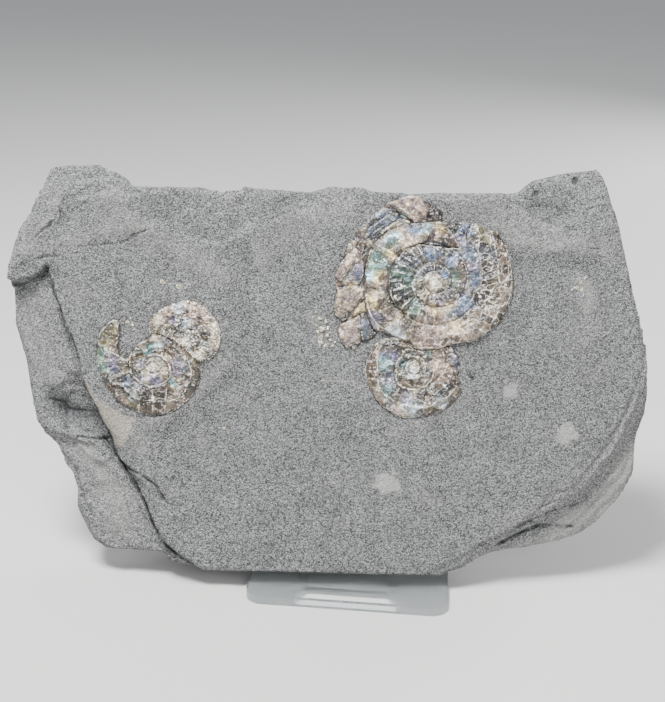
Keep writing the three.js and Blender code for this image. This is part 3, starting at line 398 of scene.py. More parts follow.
        (0.3, -0.6, -0.25, [(-46, 67.4), (-44.4, 66.3), (-42.6, 64.7)]),
    ],
}

# Broken pieces of the crushed whorl: height, colour and outline
CHUNKS = [
    (1.5, ROSE, [(16.8, 111.3), (14.5, 111.4), (15.2, 113.1), (17.9, 113.8), (20.1, 114.9), (22.7, 115.4),
            (25.2, 114.9), (26.9, 112.8), (28.3, 110.8), (27.8, 108.7), (25.9, 107.8), (23.5, 107.1),
            (21.8, 108.6), (19.1, 110.4)]),
    (1, UMBER, [(27.8, 110.2), (28.9, 110.7), (30.6, 110.5), (32.2, 108.6), (30.6, 108.1), (27.8, 107.9)]),
    (0.75, SLATE, [(9, 101.4), (8.4, 102.6), (10.2, 105.6), (12.7, 108.3), (15.7, 110.3), (18, 110.2),
            (19.9, 108.5), (16.9, 107.1), (14.7, 105), (12.1, 102.7)]),
    (0.9, CREAM, [(16.9, 107.1), (19.1, 108.5), (22.2, 107.6), (22.2, 106.7), (19.2, 106.2), (16.2, 105),
            (14, 103.1), (13.6, 104.2)]),
    (0.9, BROWN, [(7, 97.6), (6.7, 99.9), (8, 102.4), (9.1, 101.8), (9, 99.2), (8.5, 97.3)]),
    (0.7, CREAM, [(3.6, 98.7), (3.9, 100.6), (5, 100.6), (5.1, 98.5)]),
    (1.2, ROSE, [(-0.1, 90.5), (1.8, 94.5), (4.2, 97.8), (6.3, 97), (5.7, 95.4), (3.6, 91.4), (1.8, 88.7)]),
    (0.7, LILAC, [(2.9, 88.7), (4.1, 91.1), (6.3, 94.6), (8.4, 94.3), (9, 90.9), (8.4, 88.4), (5.4, 88)]),
    (1.4, TAN, [(0.5, 85), (0.9, 87.1), (4.6, 87.6), (8.4, 87.5), (9.4, 86), (9, 83.7), (6.3, 81),
            (4.6, 79.5), (4.5, 78), (2.6, 76.9), (0.5, 78.6), (-0.1, 81.6)]),
    (1.1, ROSE, [(7.8, 79.4), (6, 77.8), (1.9, 76.2), (1.6, 73.7), (2.4, 70.6), (4.2, 68.3), (6, 69.8),
            (8.4, 70.6), (8, 73.5), (8.3, 76.5)]),
    (1, SLATE, [(8.2, 79.2), (8.5, 76.2), (8.2, 73.3), (8.8, 70.6), (11.4, 71.7), (13.3, 73.5),
            (11.7, 75.1), (10.1, 78.1), (9.5, 80.4)]),
    (0.9, GOLD, [(9.4, 84.1), (9.3, 80.3), (8.6, 79.6), (6, 78.4), (6.3, 80.6)]),
]

# The outer edge of each coiled shell
EDGES = {
    "ammonite_large": [
        (32.9, 107.2), (35.8, 107.1), (41, 107.4), (42.7, 107.2), (45.6, 105.5), (46.5, 105.3),
        (48.6, 105.2), (50.8, 102.3), (52.3, 98.1), (53.3, 94.3), (53.8, 89.8), (53.6, 86.4), (52.6, 82.8),
        (51.2, 80.2), (49, 77.2), (46.4, 74.5), (42.7, 72.1), (39, 71.4), (36.3, 71.1), (33, 69.7),
        (28.8, 68.9), (25.4, 69.1), (22.8, 70.5), (20.1, 72.1), (17, 73.6), (14.8, 74.4), (12.7, 74.3),
        (11.4, 76.4), (10.1, 80.2), (9.2, 84.7), (9.2, 87.9), (9.4, 93.2), (10.1, 96.8), (11.3, 99.8),
        (13.1, 102.1), (15.5, 104.4), (19.2, 106), (23, 106.8), (27.8, 107.3),
    ],
    "ammonite_lower": [
        (14.5, 71.7), (13, 70.3), (11.7, 67.7), (10.5, 65.2), (10.1, 62.9), (10.3, 60.4), (11.5, 57.4),
        (12.8, 54.7), (14.3, 52.6), (16.3, 50.9), (18.8, 49.3), (21.9, 48.4), (25.1, 48.6), (29.4, 49.5),
        (32.9, 50.6), (35.5, 52.4), (37.5, 54.6), (39.1, 56.9), (38.5, 59.2), (38.4, 61.7), (38.4, 64.7),
        (38, 67.2), (36.4, 69.6), (34.6, 70.6), (29.6, 71.5), (23.3, 72.3), (18.2, 72.4),
    ],
    "ammonite_left": [
        (-71.4, 67.5), (-71.1, 63.3), (-70, 59.7), (-69, 57.2), (-67.7, 55.1), (-65.5, 52.5),
        (-62.7, 50.1), (-59.9, 48.7), (-56.9, 47.6), (-53.3, 47.1), (-49.7, 47.5), (-46.1, 49.3),
        (-43.6, 51.6), (-41.3, 54.4), (-39.9, 58), (-39.7, 61.1), (-40.9, 63.7), (-43.4, 65.9),
        (-46, 68.2), (-49.1, 70.2), (-52.1, 71.4), (-55.1, 71.3), (-58.7, 70.3), (-64, 75.2),
        (-66.1, 75.5), (-68, 74.4), (-70, 71.5),
    ],
    "ammonite_small": [
        (-55.1, 71.9), (-55.3, 75.8), (-54.1, 77.5), (-52.3, 78.7), (-50.5, 79.9), (-46.9, 81.2),
        (-43.8, 81.9), (-40.4, 81), (-37.5, 78.9), (-35.3, 76.3), (-34, 73.3), (-33.8, 70.3),
        (-34.1, 67.9), (-35.3, 65.9), (-36.8, 64.5), (-39.8, 63.4), (-42.9, 64.1), (-47.4, 65.7),
        (-52, 68),
    ],
}

# Where a piece of a shell is missing
NOTCHES = {
    "ammonite_left": [
        (-66.1, 76), (-64.3, 75), (-64.4, 71.3), (-64.8, 67.7), (-64, 64.9), (-61.9, 63.8),
        (-60.7, 65.4), (-59.5, 67.5), (-57.5, 69.1), (-54.5, 70.7), (-54.1, 80.3), (-66.2, 80),
    ],
}

# Cracks and scratches of the slab's face: how wide, how deep, how dark, and their points. Below nought they
# are ridges, and pale. Their darkness is painted shade in the cracks.
LINES = [
    (0.25, 0.25, 0.6, [(-67.3, 77), (-64.3, 78.2), (-60.6, 79.3), (-58.3, 78.7), (-56.4, 78)]),
    (0.35, 0.8, 0.8, [(-86.6, 86.3), (-83.2, 79.6), (-79.3, 72.1), (-77.4, 64.7), (-75.5, 57.9)]),
    (0.5, 0.8, 0.9, [(-75.5, 57.9), (-71.9, 49.7), (-66.4, 40.1), (-65.1, 34.1)]),
    (0.28, 0.4, 0.5, [(-97.6, 83), (-93.2, 85.3), (-87.2, 89.3)]),
    (0.5, 0.6, 0.8, [(-63.1, 32.6), (-60, 26.7), (-55.3, 19.3), (-52.8, 13.3), (-47.4, 6.7), (-38.2, 0.9)]),
    (0.25, 0.4, 0.6, [(-63.9, 32.6), (-57, 29), (-51.6, 25.4), (-48.9, 20.9)]),
    (0.28, 0.4, 0.5, [(-82.2, 112), (-82.8, 106.7), (-83.5, 104.1)]),
    (0.22, 0.3, 0.5, [(-61.9, 100.5), (-59.7, 101.7), (-57.1, 102.7)]),
    (0.3, 0.35, 0.6, [(-94.8, 91.3), (-89.6, 93.4), (-84.4, 94.6)]),
    (0.22, 0.3, 0.5, [(-85.5, 51.6), (-83.2, 48.3), (-77.1, 47.7), (-71.8, 47.5)]),
    (0.28, 0.4, 0.5, [(-77.7, 42.8), (-72.4, 40.7), (-68.6, 37.8)]),
    (0.25, 0.2, 0.7, [(75.7, 112.4), (78.7, 114), (82.1, 114.2)]),
    (0.25, 0.2, 0.6, [(73.8, 101), (81.3, 100.5)]),
    (0.35, 0.6, 0.5, [(63.2, 16.2), (73, 15.7)]),
    (0.3, 0.4, 0.4, [(53.5, 12.3), (63.9, 16.3)]),
    (0.45, 0.7, 0.9, [(-87, 90.6), (-83.6, 81.1), (-80.8, 70.6), (-78.2, 63.2)]),
    (0.45, 0.7, 0.5, [(-86.2, 50.9), (-81.7, 50.1), (-80.9, 42)]),
    (0.45, 0.8, 0.6, [(-76.9, 39.6), (-70.8, 38.9), (-67, 39.9)]),
    (0.5, -0.4, -0.3, [(-76.8, 36.9), (-70.7, 32.6), (-67.7, 33.3)]),
    (0.6, 0.6, 0.6, [(-85.9, 37.3), (-78.2, 30), (-74.9, 21), (-71.7, 15.1)]),
    (0.5, 0.8, 0.9, [(-99.2, 85.8), (-94.7, 85.9), (-89.3, 88.5), (-87, 90.6)]),
    (0.5, 0.3, 0.4, [(-87, 90.6), (-82.7, 87.7), (-80.3, 88.1)]),
    (0.35, 0.25, 0.4, [(-75.4, 97.6), (-66.4, 98.4), (-61.9, 99.7), (-56.8, 102.9)]),
    (0.5, 0.3, 0.3, [(-81.7, 109.8), (-72.9, 117.5)]),
    (0.5, 0.3, 0.3, [(-79.5, 107.8), (-70.9, 115)]),
    (0.5, 0.35, 0.3, [(-95, 95.9), (-86.1, 103.6)]),
    (0.6, 0.4, 0.3, [(-92, 98), (-83.2, 107.6)]),
    (0.4, 0.15, 0.25, [(-25.7, 100.7), (-26.2, 95.2), (-23.3, 90.2)]),
    (0.4, 0.15, 0.25, [(-30.9, 90), (-27.1, 94.6)]),
    (0.7, 0.5, 0.3, [(54.4, 114.2), (61.5, 109.6), (72.1, 106.3)]),
    (0.5, -0.3, -0.3, [(74.9, 113), (80.9, 114.6)]),
    (0.4, 1.2, 0.8, [(52, 10.8), (57.9, 13.9), (63.3, 16.8), (66.9, 16.6), (74.5, 16.2)]),
    (0.4, 0.7, 0.8, [(56.4, 16), (65.3, 20.2), (69.8, 22.1), (75.8, 23.4)]),
    (0.4, 0.4, 0.5, [(63.8, 22.2), (69.7, 24.8)]),
    (0.35, 0.2, 0.3, [(-54.1, 33.6), (-50.5, 45.8)]),
    (0.35, 0.25, 0.35, [(-52, 32.8), (-48.4, 44.3)]),
    (0.3, 0.15, 0.25, [(-50.2, 35.2), (-46.6, 46.5)]),
    (0.3, 0.1, -0.4, [(-49.3, 22.6), (-43.3, 24.8)]),
    (0.25, 0.05, -0.8, [(-2, 58.8), (6.1, 59)]),
    (0.45, 0.6, 0.9, [(-63.1, 32.5), (-57, 29), (-52.4, 26.1), (-49.9, 21.7)]),
    (0.45, 1.1, 0.9, [(-69.4, 39.8), (-65.6, 35.7), (-63.1, 32.5), (-58.5, 26.6), (-55.3, 20), (-53, 14),
                     (-50.5, 9.3), (-44.9, 4.9), (-38.2, 0.6)]),
]

# Swells and hollows of the slab's face: how wide, how high, how much paler, and their points. The paleness
# is painted highlight on the swells and painted shade in the hollows, in part the stone's own paler and
# darker patches.
SWELLS = [
    (4, 0.5, 0.16, [(-68.2, 111.6), (-55.9, 102.9), (-43.7, 95.3), (-33.7, 89.9)]),
    (3, 0.4, 0.12, [(-85.9, 96.8), (-75.5, 100.5), (-66.5, 103.4), (-58.9, 102.5)]),
    (6, -0.7, -0.16, [(-56.1, 110.4), (-45.5, 105.4), (-34, 100.5), (-30.2, 96.8)]),
    (3.5, 0.45, 0.14, [(-24.2, 100.7), (-15.3, 107), (-5.6, 109.5), (3, 111.2)]),
    (2.5, 0.3, 0.12, [(-23.3, 93.2), (-15.2, 101), (-7.7, 104.2)]),
    (3, -0.35, -0.12, [(-22.8, 104.5), (-15.5, 111.5), (-8, 114)]),
    (1.6, -0.3, -0.15, [(-26.9, 98.4), (-26.6, 93.1)]),
    (1.3, 0.3, 0.16, [(-24.2, 99.2), (-23.7, 94.7)]),
    (2, 0.4, 0.2, [(-54.4, 44.2), (-44, 50.8), (-34.5, 59.8), (-31.5, 63.6)]),
    (3, -0.3, -0.16, [(-49.8, 40.5), (-39.5, 49.1), (-30.7, 58.3)]),
    (5, 0, 0.14, [(-93, 79.3), (-90.5, 68.8), (-85.7, 57.7)]),
    (4, -0.9, -0.34, [(-83.9, 49.4), (-77.8, 45.8), (-71, 43), (-67, 37)]),
    (2, -0.5, -0.3, [(-86.3, 51.6), (-79.4, 47.6), (-71.8, 46.7)]),
    (4.5, 0.5, 0.26, [(-76.1, 36.8), (-71.4, 31.6), (-65.9, 22), (-63.4, 13)]),
    (1.8, 0.2, 0.24, [(-62.6, 42.4), (-58.8, 41), (-56.5, 36.6)]),
    (1.5, -0.5, -0.14, [(-58.5, 27.5), (-53.8, 22.3), (-51.4, 15.6)]),
    (2.2, 0.3, 0.16, [(-83.4, 113.5), (-86.1, 104.4), (-93.4, 95.9)]),
    (2.5, -0.4, -0.18, [(-81, 111.3), (-82, 106), (-86.8, 99.8)]),
    (2, -0.4, -0.16, [(-96.3, 89.8), (-89.5, 89.2), (-83.5, 89.4)]),
    (4, 0, -0.08, [(-25.9, 78.1), (-21.9, 70.6), (-29.3, 65.9)]),
    (3.5, 0.5, 0.18, [(50.3, 104.2), (56.4, 101), (70, 101.3), (82.1, 99.4)]),
    (3.5, -0.3, -0.14, [(55.8, 96), (66.3, 96.3), (77.7, 95.1)]),
    (4, -0.9, -0.2, [(60.6, 112.7), (64.5, 110.6), (68.2, 110.7)]),
    (2, 0.4, 0.18, [(57.7, 111.2), (62.3, 107.5), (68.3, 106)]),
    (5, 0.2, 0.1, [(38.8, 112.9), (46.4, 110.9), (54, 108.8)]),
    (4, 0, -0.12, [(54.4, 93), (57.5, 87.8)]),
    (4, 0, 0.12, [(74.8, 88.2), (77.3, 80.8), (75.2, 73.2)]),
    (2.5, 0.3, 0.12, [(92.3, 54), (88.8, 44.1), (81.5, 34.9), (68.2, 24), (53.4, 16.1)]),
    (2.6, -0.3, -0.1, [(95.5, 49.6), (89.7, 39.6), (76.5, 25.7), (63.9, 17.1), (49.8, 8.4)]),
    (5, 0.2, 0.5, [(92.8, 37.5), (87.7, 29), (81.9, 20.6), (72.9, 17.3)]),
    (3.5, 0.1, 0.4, [(68.6, 11.2), (58.1, 7.9), (47.6, 4.6)]),
    (1.6, 0.15, 0.16, [(19.5, 43.8), (29.9, 48.6), (40.3, 53.8)]),
    (1.2, 0.1, 0.3, [(74, 92), (77.1, 86.8), (76.9, 82.3)]),
    (2, 0, 0.2, [(-5.1, 77.1), (-3.1, 71.1)]),
    (3, 0, 0.1, [(79.3, 62.7), (80.8, 62)]),
    (1.6, 0, 0.2, [(28.3, 24.5), (31.3, 23)]),
    (1.2, 0, 0.25, [(-39.2, 40), (-37.7, 39.5)]),
    (1, 0, 0.22, [(-30.5, 53.1), (-29, 51.6)]),
    (2.5, 0, 0.12, [(-79.6, 84.2), (-75, 82.8)]),
]

# Pale crusts and dark specks on the face: colour change, place and reach
SPOTS = [
    (0.9, 15.6, 28.9, 2.6), (0.9, 18.6, 28.4, 2.8), (0.8, 16.8, 26.6, 2.2), (0.8, 53.8, 57.6, 2.1),
    (0.7, 54.6, 56.1, 1.5), (0.8, 71.2, 46.2, 2.2), (0.8, 73, 44.6, 2), (0.8, 70.8, 43.2, 2.2),
    (-0.9, -30.9, 44.2, 0.8), (-1.1, 42.8, 60.9, 0.8), (-0.9, 41.6, 61.4, 0.6), (-0.9, 50.2, 34.8, 0.6),
    (-1.3, 72.3, 121.6, 1), (-0.8, 60.4, 117.4, 0.8),
]

# The outline of the tan skin of clay
TAN_PATCH = [
    (-75.3, 57.8), (-69.7, 51.3), (-59, 45.5), (-60.9, 40.1), (-63.8, 36.4), (-66.9, 39.3), (-71.1, 46.7),
]

# Flakes of shell that are stuck to the face: place and size
FRAGMENTS = [
    (-62, 75, 0.7), (-60.3, 74.2, 0.5), (-61.3, 76.2, 0.4), (-59.7, 73, 0.4),
    (-5.2, 79.4, 0.5), (-4, 77.7, 0.8), (-5.3, 75.6, 0.6), (-2.3, 76.6, 0.7), (-3.2, 74.5, 1),
    (-4.5, 73.5, 0.6), (-1.5, 74.8, 0.6), (-3.5, 71.9, 0.9), (-1.8, 72.4, 0.7), (-0.5, 71.2, 0.6),
    (-3.8, 70.2, 0.7), (-2.2, 69.5, 0.6), (0, 69.5, 0.5), (0.7, 70.6, 0.4), (-6.1, 78, 0.4),
    (-0.9, 73.3, 0.4), (75.5, 91.9, 0.6), (74, 90.5, 0.7), (72.9, 88.9, 0.8), (74.7, 88.2, 0.7),
    (76.3, 89.9, 0.5), (75.8, 86.8, 0.8), (76.8, 84.9, 0.9), (76.5, 83.4, 0.8), (77.4, 83.8, 0.5),
    (71.8, 88.2, 0.4), (77.5, 87.6, 0.4), (-51.6, 87.3, 0.9), (-47.1, 86, 0.8), (-44.9, 85.7, 0.4),
    (-31.8, 43.8, 0.5), (1.4, 28.3, 0.4), (-24, 20.8, 0.4), (-49.5, 86.6, 0.3), (-2.8, 58.9, 0.4),
]


def smooth(low, high, value):
    """Runs softly from nought at low to one at high"""
    share = np.clip((value - low) / (high - low), 0, 1)
    return share * share * (3 - 2 * share)


def fractal(points, size, octaves=3, seed=0):
    """Soft noise of about -1 to 1 at each point, in lumps of a size given in millimetres"""
    shift = np.array((31.7, 12.3, 47.1)) * seed
    return np.array([noise.fractal(Vector(p), 1, 2, octaves) for p in np.asarray(points) / size + shift])


def relief(points, height, *lumps):
    """Soft noise of a given height; lumps are its size, octaves and seed"""
    return height * fractal(points, *lumps)


def sideways(points, size, seed):
    """Soft noise in the face's plane, two values for each point"""
    return np.stack([fractal(points, size, 2, seed), fractal(points, size, 2, seed + 1)], axis=1)


def bell(away, width):
    """One where away is nought, and softly down to nought past a width"""
    return np.exp(-((away / width) ** 2))


def nearness(points, line):
    """Distance in the face's plane from each point to a line through several places"""
    nearest = np.full(len(points), np.inf)
    for start, end in zip(np.array(line[:-1], float), np.array(line[1:], float)):
        along = end - start
        share = np.clip((points[:, :2] - start) @ along / (along @ along), 0, 1)
        away = points[:, :2] - start - share[:, None] * along
        nearest = np.minimum(nearest, np.hypot(away[:, 0], away[:, 1]))
    return nearest


def within(points, outline):
    """True for each point that lies inside a closed outline"""
    inside = np.zeros(len(points), bool)
    x, y = points[:, 0], points[:, 1]
    for (x1, y1), (x2, y2) in zip(outline, outline[1:] + outline[:1]):
        crosses = (y1 > y) != (y2 > y)
        inside ^= crosses & (x < (x2 - x1) * (y - y1) / (y2 - y1 + 1e-9) + x1)
    return inside


def radius_at(radii, quarter):
    """Smooth radius between a coil's quarter turns, shrinking evenly past the last one"""
    tail = [radii[-1] * 0.82**k for k in range(1, 6)]
    radii = np.array([*radii, *tail], float)
    last = len(radii) - 1
    quarter = np.clip(quarter, 0, last)
    whole = np.floor(quarter).astype(int)
    t = quarter - whole
    a, b, c, d = (radii[np.clip(whole + k, 0, last)] for k in (-1, 0, 1, 2))
    return b + 0.5 * t * (c - a + t * (2 * a - 5 * b + 4 * c - d + t * (3 * (b - c) + d - a)))


def cover(points, name):
    """How far each point lies inside a shell's outline, in millimetres, negative outside"""
    if name == "ammonite_crushed":
        whorl = CRUSHED_WHORL
        x, y = points[:, 0] - whorl["centre"][0], points[:, 1] - whorl["centre"][1]
        share = (np.arctan2(y, x) % (2 * math.pi) - whorl["from"]) / (whorl["to"] - whorl["from"])
        radius = np.hypot(x, y)
        edge = radius_at(whorl["outer"], np.clip(share, 0, 1) * (len(whorl["outer"]) - 1))
        ends = np.minimum(share, 1 - share) * (whorl["to"] - whorl["from"]) * radius
        return np.minimum(np.minimum(edge - radius, radius - whorl["inner"]), ends)
    x, y = (points[:, :2] - COILS[name]["centre"]).T
    return edge_radius(name, np.arctan2(y, x)) - np.hypot(x, y)


def edge_radius(name, angle):
    """From a coil's middle to its outer edge"""
    x, y = (np.array(EDGES[name]) - COILS[name]["centre"]).T
    return np.interp(angle, np.arctan2(y, x), np.hypot(x, y), period=2 * math.pi)


def inside_by(points, outline):
    """How far each point lies inside a closed outline, in millimetres, negative outside"""
    away = nearness(points, outline + outline[:1])
    return np.where(within(points, outline), away, -away)


def shell_reach(points, name):
    """How far each point lies inside the ragged edge of what is left of a shell, in millimetres"""
    reach = cover(points, name)
    if name in NOTCHES:
        reach = np.minimum(reach, -inside_by(points, NOTCHES[name]))
    if name == "ammonite_crushed":
        reach = np.max([reach - 0.9, *(inside_by(points, outline) for _, _, outline in CHUNKS)], axis=0)
    return reach + relief(points, *RAGGED_EDGE) + relief(points, *WAVY_EDGE)


def shell_cover(points):
    """How far each point lies inside the nearest shell"""
    return np.max([shell_reach(points, name) for name in SHELLS], axis=0)


def spiral_places(points, name):
    """Where points lie on a coil: quarter turns in from its mouth, place across the whorl from nought inside
    to one outside, the whorl's width, and the length along it"""
    coil = COILS[name]
    x, y = points[:, 0] - coil["centre"][0], points[:, 1] - coil["centre"][1]
    radius, angle = np.hypot(x, y), np.arctan2(y, x)
    quarter = ((angle - coil["start"]) * coil["turn"]) % (2 * math.pi) / QUARTER
    edge = edge_radius(name, angle)
    radius *= 1 + (radius_at(coil["radii"], quarter) / edge - 1) * smooth(0.5, 1, radius / edge)
    last = len(coil["radii"]) + 4
    for _ in range(last // 4):
        quarter += 4 * ((radius < radius_at(coil["radii"], quarter + 4)) & (quarter < last - 4))
    inner, outer = radius_at(coil["radii"], quarter + 4), radius_at(coil["radii"], quarter)
    width = np.maximum(outer - inner, 0.05)
    steps = np.arange(0, last + 1, 0.25)
    lengths = np.cumsum(radius_at(coil["radii"], steps + 2)) * 0.25 * QUARTER
    return quarter, np.clip((radius - inner) / width, 0, 1), width, np.interp(quarter, steps, lengths)


def cells(points, seed):
    """Irregular plates, about one unit across: distance to the nearest crack, two chance numbers for each
    plate, and how its own tilt lifts each point"""
    rows = []
    for p in points:
        spot = Vector(p) + Vector((seed, seed * 2.3, 0))
        (near, next_near, *_), (middle, *_) = noise.voronoi(spot)
        chance = noise.cell_vector(middle * 7.31)
        lean = noise.cell_vector(middle * 3.17)
        away = spot - middle
        rows.append((next_near - near, chance.x, chance.y, (lean.x - 0.5) * away.x + (lean.y - 0.5) * away.y))
    return np.array(rows).T


def finished(bm, name, material, node=None):
    """Puts a piece that was made on the slab's face into the frame, names it, gives it its material, hangs it
    on the root and hides the imported solid that it stands for
    """
    bm.transform(FROM_FACE)
    mesh = bpy.data.meshes.new(name)
    bm.to_mesh(mesh)
    bm.free()
    mesh.polygons.foreach_set("use_smooth", [True] * len(mesh.polygons))
    mesh.materials.append(material)
    piece = bpy.data.objects.new(name, mesh)
    bpy.context.scene.collection.objects.link(piece)
    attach(piece, "root")
    if node:
        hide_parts(node)
    return piece


def give(bm, **fields):
    """Stores values on the points of a mesh for its material: numbers, or colours as rows of three"""
    for name, values in fields.items():
        if np.ndim(values) == 2:
            layer = bm.verts.layers.float_color.new(name)
            for vert, value in zip(bm.verts, values):
                vert[layer] = (*value, 1)
        else:
            layer = bm.verts.layers.float.new(name)
            for vert, value in zip(bm.verts, values):
                vert[layer] = value


class Graph:
    """Adds nodes to a material or a node group and joins them up"""

    def __init__(self, tree):
        self.tree = tree
        tree.nodes.clear()

    def add(self, kind, inputs=None, **settings):
        node = self.tree.nodes.new("ShaderNode" + kind if kind != "GroupOutput" else "NodeGroupOutput")
        for name, value in settings.items():
            setattr(node, name, value)
        for name, value in (inputs or {}).items():
            self.feed(node.inputs[name], value)
        return node

    def feed(self, socket, value):
        if isinstance(value, bpy.types.NodeSocket):
            self.tree.links.new(value, socket)
        elif socket.type == "RGBA" and len(value) == 3:
            socket.default_value = (*value, 1)
        else:
            socket.default_value = value

    def mix(self, share, first, second, blend="MIX"):
        node = self.add("Mix", data_type="RGBA", blend_type=blend)
        for index, value in ((0, share), (6, first), (7, second)):
            self.feed(node.inputs[index], value)
        return node.outputs[2]

    def sum(self, kind, first, second):
        return self.add("Math", {0: first, 1: second}, operation=kind).outputs[0]

    def span(self, value, low, high, to_low=0.0, to_high=1.0):
        names = ("Value", "From Min", "From Max", "To Min", "To Max")
        return self.add("MapRange", dict(zip(names, (value, low, high, to_low, to_high)))).outputs[0]

    def ramp(self, value, stops):
        node = self.add("ValToRGB", {"Fac": value})
        band = node.color_ramp
        while len(band.elements) < len(stops):
            band.elements.new(0.5)
        for element, (place, colour) in zip(band.elements, stops):
            element.position, element.color = place, (*colour, 1)
        return node.outputs["Color"]

    def noise(self, scale, detail):
        where = self.add("TexCoord").outputs["Object"]
        node = self.add("TexNoise", {"Vector": where, "Scale": scale, "Detail": detail})
        return node.outputs["Fac"]

    def stored(self, name, colour=False):
        return self.add("Attribute", attribute_name=name).outputs["Color" if colour else "Fac"]


def mineral_grain():
    """A node group that gives the fine grains of stone: a mask for their colour and a height"""
    group = bpy.data.node_groups.get("Mineral Grain")
    if group:
        return group
    group = bpy.data.node_groups.new("Mineral Grain", "ShaderNodeTree")
    for name, value in (("Grain Scale", 2600.0), ("Coarse Scale", 900.0)):
        socket = group.interface.new_socket(name, in_out="INPUT", socket_type="NodeSocketFloat")
        socket.default_value = value
    for name in ("Grain", "Height"):
        group.interface.new_socket(name, in_out="OUTPUT", socket_type="NodeSocketFloat")
    graph = Graph(group)
    given = group.nodes.new("NodeGroupInput")
    where = graph.add("TexCoord").outputs["Object"]
    each = graph.add("TexVoronoi", {"Vector": where, "Scale": given.outputs["Grain Scale"]}).outputs["Color"]
    fine = graph.add("SeparateColor", {0: each}).outputs[0]
    coarse = graph.span(graph.noise(given.outputs["Coarse Scale"], 2.0), 0.3, 0.7)
    grain = graph.mix(0.12, fine, coarse)
    out = graph.add("GroupOutput")
    graph.feed(out.inputs["Grain"], grain)
    graph.feed(out.inputs["Height"], coarse)
    return group


def new_material(name):
    """A new material, and the graph that fills it"""
    material = bpy.data.materials.new(name)
    material.use_nodes = True
    return material, Graph(material.node_tree)


def placed_group(graph, group, **inputs):
    """Puts a node group into a material; inputs name the group's sockets with _ for a space"""
    node = graph.tree.nodes.new("ShaderNodeGroup")
    node.node_tree = group
    for name, value in inputs.items():
        graph.feed(node.inputs[name.replace("_", " ")], value)
    return node


def surface(graph, **inputs):
    """Ends a material with its shader; inputs name the shader's sockets with _ for a space"""
    named = {name.replace("_", " "): value for name, value in inputs.items()}
    shader = graph.add("BsdfPrincipled", named)
    graph.add("OutputMaterial", {"Surface": shader.outputs[0]})


def mudstone(look):
    """Grey stone of fine grains, with fresh breaks, tan clay, pale crusts, painted highlight on its swells,
    and cracks, hollows and pits darkened with painted shade
    """
    material, graph = new_material("Mudstone")
    coarse = look.grain_scale / 1.8
    grain = placed_group(graph, mineral_grain(), Grain_Scale=look.grain_scale, Coarse_Scale=coarse)
    patchy = graph.span(graph.noise(150, 6.0), 0.35, 0.65)
    body = graph.mix(patchy, [c * 1.1 for c in look.face_colour], [c * 0.88 for c in look.face_colour])
    body = graph.mix(graph.stored("broken"), body, look.broken_colour)
    body = graph.mix(graph.stored("tan"), body, look.clay_colour)
    grained = graph.ramp(grain.outputs["Grain"], [(0.08, grey(0.11)), (0.5, grey(0.42)), (0.92, grey(1))])
    grained = graph.mix(graph.sum("MULTIPLY", graph.stored("tan"), 0.6), grained, grey(0.5))
    body = graph.mix(1.0, body, grained, "MULTIPLY")
    # Pale crusts and painted highlight on swells, then painted shade in cracks, hollows and pits
    body = graph.mix(graph.span(graph.stored("shade"), 0, 1, 0, 0.55), body, look.crust_and_highlight_colour)
    body = graph.mix(graph.span(graph.stored("shade"), 0, -1, 0, 0.8), body, PAINTED_SHADE_DARK)
    height = graph.sum("ADD", grain.outputs["Height"], graph.noise(350, 3.0))
    bump = graph.add("Bump", {"Height": height, "Strength": 0.85, "Distance": 0.0003})
    rough = graph.span(grain.outputs["Grain"], 0, 1, 0.98, 0.82)
    surface(graph, Base_Color=body, Roughness=rough, Normal=bump.outputs[0], Specular_IOR_Level=0.25)
    return material


def pearly_shell(look):
    """Crushed mother-of-pearl in each plate's own colour with painted light and shade, with pale calcite in
    its cracks and painted highlights and glints; made once
    """
    material = bpy.data.materials.get("Pearly Shell")
    if material:
        return material
    material, graph = new_material("Pearly Shell")
    grain = placed_group(graph, mineral_grain(), Grain_Scale=3600.0, Coarse_Scale=1500.0)
    colour = graph.stored("tint", colour=True)
    bands = [(0.3, BLUE), (0.42, LILAC), (0.5, ROSE), (0.58, GOLD), (0.7, TEAL)]
    play = graph.ramp(graph.noise(420, 2.0), bands)
    colour = graph.mix(look.play_of_colour, colour, play, "SOFT_LIGHT")
    mottled = graph.ramp(grain.outputs["Grain"], [(0, grey(0.3)), (0.5, grey(0.48)), (1, grey(0.75))])
    colour = graph.mix(1.0, colour, mottled, "MULTIPLY")
    # The stored crack mask holds calcite cracks and seams, and painted highlights on rib crests, rims and
    # glints
    broken = graph.sum("ADD", graph.stored("crack"), graph.span(grain.outputs["Grain"], 0, 1, -0.22, 0.22))
    colour = graph.mix(graph.span(broken, 0.25, 0.95), colour, look.crack_and_glint_colour)
    rough = graph.span(graph.stored("crack"), 0, 1, look.roughness, 0.6)
    bump = graph.add("Bump", {"Height": grain.outputs["Height"], "Strength": 0.5, "Distance": 0.00025})
    surface(
        graph, Base_Color=colour, Roughness=rough, Normal=bump.outputs[0], Coat_Weight=0.25,
        Coat_Roughness=0.2, Specular_IOR_Level=0.5,
    )
    return material


def clear_plastic(look):
    """Clear plastic with a little wear"""
    material, graph = new_material("Clear Plastic")
    wear = graph.span(graph.noise(160, 4.0), 0.45, 0.75, 0.03, 0.1)
    surface(graph, Base_Color=look.colour, Roughness=wear, IOR=1.49, Transmission_Weight=1.0)
    return material


def floor_paper(look):
    """Plain pale paper"""
    material, graph = new_material("Pale Floor")
    colour = graph.mix(graph.noise(6, 3.0), look.floor_colour, [c * 0.97 for c in look.floor_colour])
    surface(graph, Base_Color=colour, Roughness=0.9)
    return material


COLOUR = {"subtype": "COLOR", "size": 3, "min": 0, "max": 1}


